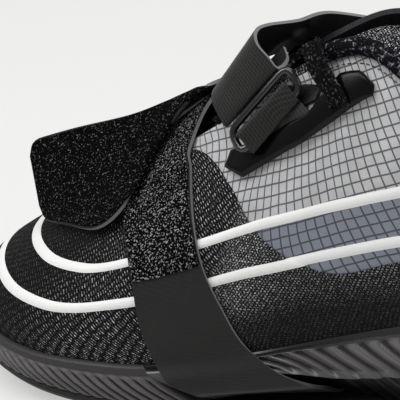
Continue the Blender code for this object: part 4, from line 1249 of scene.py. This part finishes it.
def band(name, rows, normal, low, high, finishes, round_end=0.0):
    """A band between two heights over a grid of rows, with its last corners rounded."""
    middle = (rows[:, :1] + rows[:, -1:]) / 2
    if round_end:
        left = np.linalg.norm(np.diff(rows[:, rows.shape[1] // 2], axis=0), axis=1)
        left = np.append(np.cumsum(left[::-1])[::-1], 0)
        short = np.clip(1 - left / round_end, 0, 1)
        half = np.linalg.norm(rows[:, -1] - rows[:, 0], axis=1) / 2
        narrow = 1 - round_end * (1 - np.sqrt(1 - short**2)) / half
        rows = middle + (rows - middle) * narrow[:, None, None]
    chart = chart_of(rows)
    return skin(name, rows + normal * high, rows + normal * low, chart, finishes)


def satin_strap_finish(name, color, other, grid, mark):
    """Firm coated webbing with a fine grid in its weave."""
    made, tree, shader = finish_of(name, color, 0.42, specular=0.2)
    u, v = turned_map(tree, 0.0)
    across = lines_across(u, grid, 0.00012, 0.0001)
    lines = across.do("MAXIMUM", lines_across(v, grid * 1.6, 0.0001, 0.0001))
    bright = object_noise(tree, 0.012).do("MULTIPLY_ADD", 0.25, lines * mark)
    bright.blend(color, other).to(shader, "Base Color")
    emboss(shader, object_noise(tree, 0.0005).do("MULTIPLY_ADD", 0.6, lines), 0.00006)
    return made


def pile_finish(name, dark, light, grain, low, high, depth):
    """Pile of fine loops or hooks: bright specks on a dark ground."""
    made, tree, shader = finish_of(name, dark, 0.75, specular=0.03)
    place = places(tree, "Object")
    worm = wire(tree, "ShaderNodeTexNoise", place, 1 / grain, 2.0, 0.6, 2.2, 1.2, out="Fac")
    ridge = 1.0 - abs(worm - 0.5) * 7.0
    spot = wire(tree, "ShaderNodeTexNoise", place, 0.8 / grain, 1.0, 0.5, out="Fac")
    bright = ridge * spot.ramp(low, high)
    bright = bright.do("MAXIMUM", 0.0)
    shade = bright.blend(dark, light)
    shade.to(shader, "Base Color")
    emboss(shader, ridge.do("MAXIMUM", 0.0), depth)
    return made


satin_strap = satin_strap_finish(
    "satin strap", (0.013, 0.0122, 0.012), (0.028, 0.0265, 0.0262), grid=0.0013, mark=0.04
)
cut_edge, tree, shader = finish_of("cut strap edge", (0.20, 0.20, 0.205), 0.8, specular=0.1)
# Painted shade: the cut edges are painted dark near the floor, where the strap goes into its slot.
edge_shade = parts_of(places(tree, "Object"))[2].ramp(*EDGE_FLOOR_SHADE)
edge_shade.blend((0.015, 0.015, 0.015), (0.20, 0.20, 0.205)).to(shader, "Base Color")
emboss(shader, object_noise(tree, 0.0005), 0.0002)
loop_pile = pile_finish(
    "loop pile", (0.004, 0.004, 0.0045), (0.90, 0.90, 0.92), PILE_GRAIN, low=0.575, high=0.63, depth=0.0005
)
hook_pile = pile_finish(
    "hook pile", (0.003, 0.003, 0.003), (0.30, 0.30, 0.30), PILE_GRAIN, low=0.61, high=0.70, depth=0.0003
)

rows = []
for toe_end, heel_end, height, outset, tucked in (HIDDEN_FOOT, *FRONT_FOOT):
    station = np.linspace(toe_end, heel_end, STRAP_COLUMNS)
    out = outset - tucked * waist_at(station) * WAIST_DEPTH
    rows.append(beside(station, out, sole_heights(station, height)))
rows += [surface_row(f[:2], f[2:], STRAP_OUTSET, STRAP_COLUMNS) for f in FRONT_FOLDS]
rows.append(free_row(*CREST_ROW, STRAP_COLUMNS))
over = FRONT_FOLDS[::-1][:4]
mirrored = [((2 * TOE_SECTION - f[0], f[1]), (2 * TOE_SECTION - f[2], f[3])) for f in over]
rows += [surface_row(a, b, STRAP_OUTSET, STRAP_COLUMNS) for a, b in mirrored]
turn_toe, turn_heel = mirrored[-1]
for drop, out in TURN_STEPS:
    a = (turn_toe[0], turn_toe[1] - drop)
    b = (turn_heel[0], turn_heel[1] - drop)
    rows.append(surface_row(a, b, STRAP_OUTSET + out, STRAP_COLUMNS))
for (toe_edge, heel_edge), outset in zip(mirrored[::-1][1:], RETURN_OUTSETS):
    rows.append(surface_row(toe_edge, heel_edge, outset, STRAP_COLUMNS))
flap_start = len(rows)
rows += [free_row(low, high, STRAP_COLUMNS) for low, high in FLAP_FOLDS]
rows = smooth_rows(rows, STRAP_STEPS)
normal = grid_normal(rows)
normal *= -np.sign(normal[5 * STRAP_STEPS : 9 * STRAP_STEPS, :, 1].mean())
half = STRAP_THICKNESS / 2
finishes = (satin_strap, satin_strap, cut_edge)
strap = band("front_strap_band", rows, normal, -half, half, finishes, CORNER_RADIUS)
fix(strap, "strap_cloth", "front_strap")


def inset_rows(rows, margin):
    """The rows of a strap, narrowed by a margin at both edges."""
    middle = (rows[:, :1] + rows[:, -1:]) / 2
    wide = np.linalg.norm(rows[:, -1] - rows[:, 0], axis=1)[:, None, None]
    return middle + (rows - middle) * (1 - 2 * margin / wide)


loop_rows = slice(int(LOOP_PAD_ROWS[0] * STRAP_STEPS), int(LOOP_PAD_ROWS[1] * STRAP_STEPS))
hook_rows = slice(flap_start * STRAP_STEPS - HOOK_PAD_LEAD, None)
facing = np.sign((normal[hook_rows] @ np.array(VIEWER)).mean())
for name, at, way, pile, corner in (
    ("loop_pad", loop_rows, 1, loop_pile, 0.0),
    ("hook_pad", hook_rows, facing, hook_pile, CORNER_RADIUS),
):
    faces = (half - PAD_OVERLAP, half + PAD_THICKNESS)
    pad = band(name, inset_rows(rows, PAD_MARGIN)[at], normal[at] * way, *faces, (pile,) * 3, corner)
    fix(pad, "strap_cloth")

# Rear strap: a softer satin strap sewn to the inner quarter. It crosses the instep, turns through the
# outer ring and stands open in a loop.
REAR_COLUMNS = 26
REAR_STEPS = 14
REAR_ANCHOR = (
    (18.45, 0.460, 19.65, 0.490),
    (18.25, 0.650, 19.50, 0.690),
    (18.00, 0.800, 19.30, 0.830),
)
REAR_FOLDS = (
    ((0.585, 0.205, 0.868), (0.503, 0.225, 0.985)),
    ((0.610, 0.073, 0.850), (0.538, 0.083, 1.000)),
    ((0.628, -0.062, 0.850), (0.562, -0.042, 1.022)),
    ((0.626, -0.167, 0.858), (0.565, -0.146, 1.034)),
    ((0.617, -0.240, 0.845), (0.557, -0.219, 1.020)),
    ((0.605, -0.285, 0.824), (0.540, -0.255, 0.992)),
    ((0.597, -0.300, 0.806), (0.528, -0.262, 0.965)),
)
REAR_INNER_FOLDS = (
    ((0.592, -0.245, 0.826), (0.524, -0.190, 0.968)),
    ((0.600, -0.180, 0.838), (0.534, -0.125, 0.984)),
    ((0.607, -0.110, 0.846), (0.546, -0.060, 0.990)),
)
dark, light = (0.008, 0.0078, 0.0078), (0.045, 0.042, 0.040)
rear_satin = satin_strap_finish("rear satin strap", dark, light, grid=0.0012, mark=0.4)
rows = [surface_row(fold[:2], fold[2:], STRAP_OUTSET, REAR_COLUMNS) for fold in REAR_ANCHOR]
rows += [free_row(low, high, REAR_COLUMNS) for low, high in REAR_FOLDS + REAR_INNER_FOLDS[:2]]
rows = smooth_rows(rows, REAR_STEPS)
rear_normal = grid_normal(rows)
rear_band = band("rear_strap_band", rows, rear_normal, -half, half, (rear_satin, rear_satin, cut_edge))
fix(rear_band, "strap_cloth", "rear_strap")

# Rings: bent wire with a dark glossy coat, one on each side, each held by a short webbing tab that
# is folded round its lower bar and sewn down.
WIRE_RADIUS = 0.0014
RING_ENDS = 0.0036
RING_SIDES = 20
TAB_THICKNESS = 0.0011
REAR_TAB_INSETS = (0.0026, 0.0036)
REAR_TAB_REACH = 0.52
FRONT_TAB_INSETS = (0.0085, 0.0085)
TAB_NARROWING = 0.25
TAB_COLUMNS = 20
REAR_RING = (
    ((0.569, -0.396, 0.760), (0.498, -0.293, 0.920)),
    ((0.586, -0.350, 0.806), (0.517, -0.268, 0.9715)),
)
REAR_TAB_STATIONS = (7.86, 6.72)
REAR_TAB_OUTER = ((0.781, 0.799, 0.0030),)
REAR_TAB_INNER = ((0.870, 0.900, 0.0015), (0.830, 0.850, 0.0012))
TAB_TURN = (-30, 6, 42, 78, 114, 150)
FRONT_RING_STATIONS = (16.55, 18.05)
FRONT_RING_BARS = ((0.425, 0.0050), (0.545, 0.0060))
FRONT_TAB_OUTER = ((0.040, 0.0030), (0.180, 0.0032), (0.330, 0.0036))
FRONT_TAB_INNER = ((0.340, 0.0018), (0.190, 0.0015), (0.050, 0.0015))


def wire_ring(name, bars, finish):
    """A rounded rectangle of wire round two long bars, each given by its two ends."""
    (a, b), (c, d) = bars
    corners = [a, b, d, c]
    spots = []
    for k, corner in enumerate(corners):
        into, out = unit(corners[k - 1] - corner), unit(corners[(k + 1) % 4] - corner)
        for lead in np.linspace(1, 0, 5):
            spots.append(corner + (into * lead**2 + out * (1 - lead) ** 2) * RING_ENDS)
    run = unit(np.roll(spots, -1, axis=0) - np.roll(spots, 1, axis=0))
    points = rings_round(np.array(spots), run, np.cross(b - a, c - a), (WIRE_RADIUS, WIRE_RADIUS), RING_SIDES)
    points = points.reshape(-1, 3)
    faces = quads(len(spots), RING_SIDES, closed=True)[2]
    if inside_out(points, faces):
        faces = faces[:, ::-1]
    return make_piece(name, points, faces, np.zeros((len(faces), 4, 2)), [finish])


def ring_tab(name, bar, insets, lean, outer_rows, inner_rows, finish):
    """Webbing round a ring's bar, between rows that lead to it and away behind it."""
    first, last = np.array(insets) / np.linalg.norm(bar[1] - bar[0])
    share = np.linspace(first, 1 - last, TAB_COLUMNS)[:, None]
    line = bar[0] + (bar[1] - bar[0]) * share
    away = (line - (outer_rows[-1] + inner_rows[0]) / 2).mean(axis=0, keepdims=True)
    along = unit(bar[1] - bar[0])
    away = unit(away - along * (away @ along)[:, None])
    front = np.cross(along, away)
    front *= np.sign(((outer_rows[-1] - inner_rows[0]) * front).sum())
    radius = WIRE_RADIUS + 2 * CLEARANCE + TAB_THICKNESS / 2
    turn = [
        line + radius * (front * math.cos(a) + away * math.sin(a)) + lean * max(0.0, math.sin(a))
        for a in np.radians(TAB_TURN)
    ]
    rows = smooth_rows(np.array([*outer_rows, *turn, *inner_rows]), 5)
    normal = grid_normal(rows)
    return band(name, rows, normal, -TAB_THICKNESS / 2, TAB_THICKNESS / 2, (finish,) * 3), rows, normal


dark_wire, tree, shader = finish_of("dark wire", (0.012, 0.012, 0.0125), 0.14, metallic=0.3, coat=0.5)
emboss(shader, object_noise(tree, 0.002), 0.00003)
webbing = woven_finish(
    "tab webbing", (0.012, 0.012, 0.012), (0.055, 0.055, 0.057), roughness=0.8, pitch=0.0011, depth=0.0003
)

bars = [tuple(to_point(end) for end in bar) for bar in REAR_RING]
fix(wire_ring("rear_ring_wire", bars, dark_wire), "ring_metal", "rear_ring")
toe_end, heel_end = REAR_TAB_STATIONS
tab_rows = [
    [surface_row((toe_end, a), (heel_end, b), out, TAB_COLUMNS) for a, b, out in side]
    for side in (REAR_TAB_OUTER, REAR_TAB_INNER)
]
lean = (bars[1][0] - bars[0][0]) * REAR_TAB_REACH
rear_tab = ring_tab("rear_tab_webbing", bars[0], REAR_TAB_INSETS, lean, *tab_rows, rear_satin)
fix(rear_tab[0], "tab_webbing", "rear_ring_tab")

toe_fold, heel_fold = FRONT_RING_STATIONS
bars = [
    tuple(upper_point(np.array([at]), np.array([t]), out)[0] for at in (toe_fold, heel_fold))
    for t, out in FRONT_RING_BARS
]
fix(wire_ring("front_ring_wire", bars, dark_wire), "ring_metal", "front_ring")
ends = (toe_fold + TAB_NARROWING, heel_fold - TAB_NARROWING)
tab_rows = [
    [surface_row((ends[0], t), (ends[1], t), out, TAB_COLUMNS) for t, out in side]
    for side in (FRONT_TAB_OUTER, FRONT_TAB_INNER)
]
front_tab = ring_tab("front_tab_webbing", bars[0], FRONT_TAB_INSETS, 0.0, *tab_rows, webbing)
fix(front_tab[0], "tab_webbing", "front_ring_tab")

# Base plate: a hard moulded wedge bonded to the outer quarter, which the rear ring's webbing goes
# into. Its edges are bevelled and its heel end is the widest.
BASE_THICKNESS = 0.0026
BASE_EDGE = 0.0006
BASE_BEVEL = 0.28
BASE_COLUMNS = 90
BASE_ROWS = 26
BASE_FOLDS = (
    (8.06, 0.755, 0.820),
    (7.65, 0.675, 0.785),
    (7.20, 0.685, 0.790),
    (6.75, 0.705, 0.815),
    (6.35, 0.745, 0.925),
    (6.05, 0.795, 0.930),
    (5.80, 0.845, 0.890),
)
plate_plastic, tree, shader = finish_of("plate plastic", (0.003, 0.003, 0.0031), 0.15, specular=0.16)
emboss(shader, object_noise(tree, 0.0004), 0.00003)
folds_at = np.array(BASE_FOLDS)[::-1]
at = np.linspace(folds_at[0, 0], folds_at[-1, 0], BASE_COLUMNS)
low, high = (np.interp(at, folds_at[:, 0], folds_at[:, k]) for k in (1, 2))
across = np.linspace(0, 1, BASE_ROWS)
t = low[:, None] + (high - low)[:, None] * across
spread = np.broadcast_to(at[:, None], t.shape)
end = np.minimum(np.arange(BASE_COLUMNS), np.arange(BASE_COLUMNS)[::-1])[:, None] / 6
side = np.minimum(across, 1 - across)[None, :] / BASE_BEVEL * 1.6
bevel = np.sqrt(1 - (1 - np.clip(end, 0, 1)) ** 2) * np.sqrt(1 - (1 - np.clip(side, 0, 1)) ** 2)
under = LAYER_STEP + CLEARANCE
front = upper_point(spread, t, under + BASE_EDGE + (BASE_THICKNESS - BASE_EDGE) * bevel)
back = upper_point(spread, t, np.full_like(t, under))
base = skin("base_plate", front, back, chart_of(front), (plate_plastic,) * 3)
fix(base, "base_plastic", "rear_ring_base")

# Lace keeper: a flat strip of ribbed webbing, held under the collar binding. It runs down over the
# base plate.
STRIP_HALF = 0.150
LACE_STRIP_THICKNESS = 0.0013
STRIP_RIBS = 5
STRIP_COLUMNS = 41
STRIP_RIB_HEIGHT = 0.0006
# station, t and outset of the strip's middle, and how far it is lifted above the cloth
STRIP_ROWS = (
    (6.92, 0.990, -0.0050, 0.0060),
    (6.84, 1.000, 0.0010, 0.0085),
    (6.72, 0.985, 0.0060, 0.0060),
    (6.60, 0.935, 0.0072, 0.0020),
    (6.46, 0.885, 0.0066, 0.0),
    (6.33, 0.835, 0.0056, 0.0),
    (6.24, 0.790, 0.0048, 0.0),
)
strip_cloth = braid_finish(
    "ribbed strip", (0.005, 0.005, 0.0055), (0.20, 0.20, 0.21), strand=0.0007, share=0.04, depth=0.0003
)
rows = [
    surface_row((at + STRIP_HALF, t), (at - STRIP_HALF, t), out, STRIP_COLUMNS) + np.array([0, 0, lift])
    for at, t, out, lift in STRIP_ROWS
]
rows = smooth_rows(rows, 14)
normal = grid_normal(rows)
normal *= -np.sign(normal[..., 1].mean())
ribs = np.abs(np.sin(np.linspace(0, STRIP_RIBS * math.pi, STRIP_COLUMNS)))[None, :, None]
ribs = STRIP_RIB_HEIGHT * ribs
front = rows + normal * (LACE_STRIP_THICKNESS / 2 - STRIP_RIB_HEIGHT + ribs)
back = rows - normal * LACE_STRIP_THICKNESS / 2
strip = skin("lace_keeper", front, back, chart_of(rows), (strip_cloth,) * 3)
fix(strip, "lace_cloth", "lace_strip")

# Stitching: rows of thick dark thread hold the ring tabs, and one runs along the collar. Each stitch is a
# small capsule laid along its seam.
stitch_tree, given = new_tree("Stitch row", {"Pitch": 0.0024, "Length": 0.0017, "Radius": 0.00022})
seam = wire(stitch_tree, "GeometryNodeMeshToCurve", given["Geometry"])
seam = wire(stitch_tree, "GeometryNodeResampleCurve", seam, None, given["Pitch"], mode="LENGTH")
tangent = wire(stitch_tree, "GeometryNodeInputTangent")
lay = wire(stitch_tree, "FunctionNodeAlignRotationToVector", None, None, tangent, axis="Z")
capsule = wire(stitch_tree, "GeometryNodeMeshUVSphere", 8, 6, 1.0, out="Mesh")
half_length = given["Length"] * 0.5
size = wire(stitch_tree, "ShaderNodeCombineXYZ", given["Radius"], given["Radius"], half_length)
stitches = wire(stitch_tree, "GeometryNodeInstanceOnPoints", seam, None, capsule, None, None, lay, size)
end_tree(stitch_tree, given, stitches)
SEAM_LIFT = 0.00005
SEAM_MARGIN = 2
SHOE_MIDDLE = (share_to_x(0.55), 0, 0.05)
RIM_SEAM_T = 0.965
RIM_SEAM_LIFT = 0.00025
RIM_SEAM_INSET = 0.1
RIM_SEAM_COLUMNS = 120
thread, tree, shader = finish_of("thread", (0.035, 0.035, 0.037), 0.7)
emboss(shader, object_noise(tree, 0.0003), 0.00006)


def box_seam(rows, normal, lift, last, margin):
    """A closed seam inside the first rows of a strap, lifted off its face."""
    patch = rows[:last] + normal[:last] * lift
    inside = slice(margin, -margin - 1)
    sides = [patch[:, margin], patch[-1, inside], patch[::-1, -margin - 1], patch[0, inside][::-1]]
    return np.concatenate(sides)


for name, (_, tab_rows, tab_normal), last in (
    ("front_tab_stitches", front_tab, 9),
    ("rear_tab_stitches", rear_tab, 4),
):
    out = np.sign((tab_normal[:3] * (tab_rows[:3] - np.array(SHOE_MIDDLE))).sum())
    seam = box_seam(tab_rows, tab_normal * out, TAB_THICKNESS / 2 + SEAM_LIFT, last, SEAM_MARGIN)
    fix(grow(name, thread_line(name, seam), stitch_tree, thread), "tab_webbing")

seam = upper_point(rim_stations(RIM_SEAM_INSET, RIM_SEAM_COLUMNS), RIM_SEAM_T, RIM_SEAM_LIFT)
fix(grow("collar_stitches", thread_line("collar seam", seam), stitch_tree, thread), "upper_cloth")

# Studio: a plain pale floor and soft lights, with the camera where the photograph was taken from.
# The camera looks down at the outer side of the instep, turned a little towards the heel.
CAMERA_AZIMUTH = 22.0
CAMERA_ELEVATION = 24.0
CAMERA_ROLL = 6.5
CAMERA_DISTANCE = 1.0
CAMERA_LENS = 247.5
CAMERA_AIM = (-0.1491, -0.0091, 0.0677)


def look_from(azimuth, elevation):
    """Right, up and back of a view from an azimuth and an elevation, in degrees."""
    a, e = math.radians(azimuth), math.radians(elevation)
    right = np.array([math.cos(a), math.sin(a), 0.0])
    back = np.array([math.sin(a) * math.cos(e), -math.cos(a) * math.cos(e), math.sin(e)])
    return right, np.cross(back, right), back


right, up, back = look_from(CAMERA_AZIMUTH, CAMERA_ELEVATION)
roll = math.radians(CAMERA_ROLL)
turned = math.cos(roll) * right - math.sin(roll) * up
axes = [turned, math.sin(roll) * right + math.cos(roll) * up, back]
camera = bpy.data.cameras.new("camera")
camera.lens = CAMERA_LENS
camera.sensor_width = 36.0
camera.clip_start = 0.05
camera_object = bpy.data.objects.new("camera", camera)
place = np.array(CAMERA_AIM) + back * CAMERA_DISTANCE
matrix = [[*(axis[k] for axis in axes), place[k]] for k in range(3)] + [[0, 0, 0, 1]]
camera_object.matrix_world = Matrix(matrix)
bpy.context.scene.collection.objects.link(camera_object)
bpy.context.scene.camera = camera_object

floor_paint, tree, shader = finish_of("pale floor", (0.34, 0.34, 0.335), 0.7, specular=0.2)
shader.inputs["Emission Color"].default_value = (1.0, 1.0, 0.99, 1)
shader.inputs["Emission Strength"].default_value = 0.48
corners = [(-3.0, -3.0, 0.0), (3.0, -3.0, 0.0), (3.0, 3.0, 0.0), (-3.0, 3.0, 0.0)]
ground = bpy.data.meshes.new("floor")
ground.from_pydata(corners, [], [(0, 1, 2, 3)])
ground.materials.append(floor_paint)
floor_object = bpy.data.objects.new("floor", ground)
bpy.context.scene.collection.objects.link(floor_object)

world = bpy.data.worlds.new("studio")
world.use_nodes = True
world.node_tree.nodes["Background"].inputs["Color"].default_value = (1.0, 1.0, 1.0, 1)
world.node_tree.nodes["Background"].inputs["Strength"].default_value = 0.30
bpy.context.scene.world = world
bpy.context.scene.view_settings.view_transform = "Standard"

# name, azimuth and elevation of where it stands, distance, size, power
for name, azimuth, elevation, distance, size, power in (
    ("key", -55.0, 50.0, 1.1, 0.6, 6.0),
    ("top", 20.0, 80.0, 1.2, 0.9, 8.0),
    ("fill", 85.0, 30.0, 1.3, 0.6, 2.5),
    ("back", 165.0, 45.0, 1.3, 0.8, 3.0),
):
    lamp = bpy.data.lights.new(name, "AREA")
    lamp.shape = "SQUARE"
    lamp.size = size
    lamp.energy = power
    lamp_object = bpy.data.objects.new(name, lamp)
    right, up, back = look_from(azimuth, elevation)
    place = np.array(CAMERA_AIM) + back * distance
    matrix = [[*(axis[k] for axis in (right, up, back)), place[k]] for k in range(3)] + [[0, 0, 0, 1]]
    lamp_object.matrix_world = Matrix(matrix)
    bpy.context.scene.collection.objects.link(lamp_object)
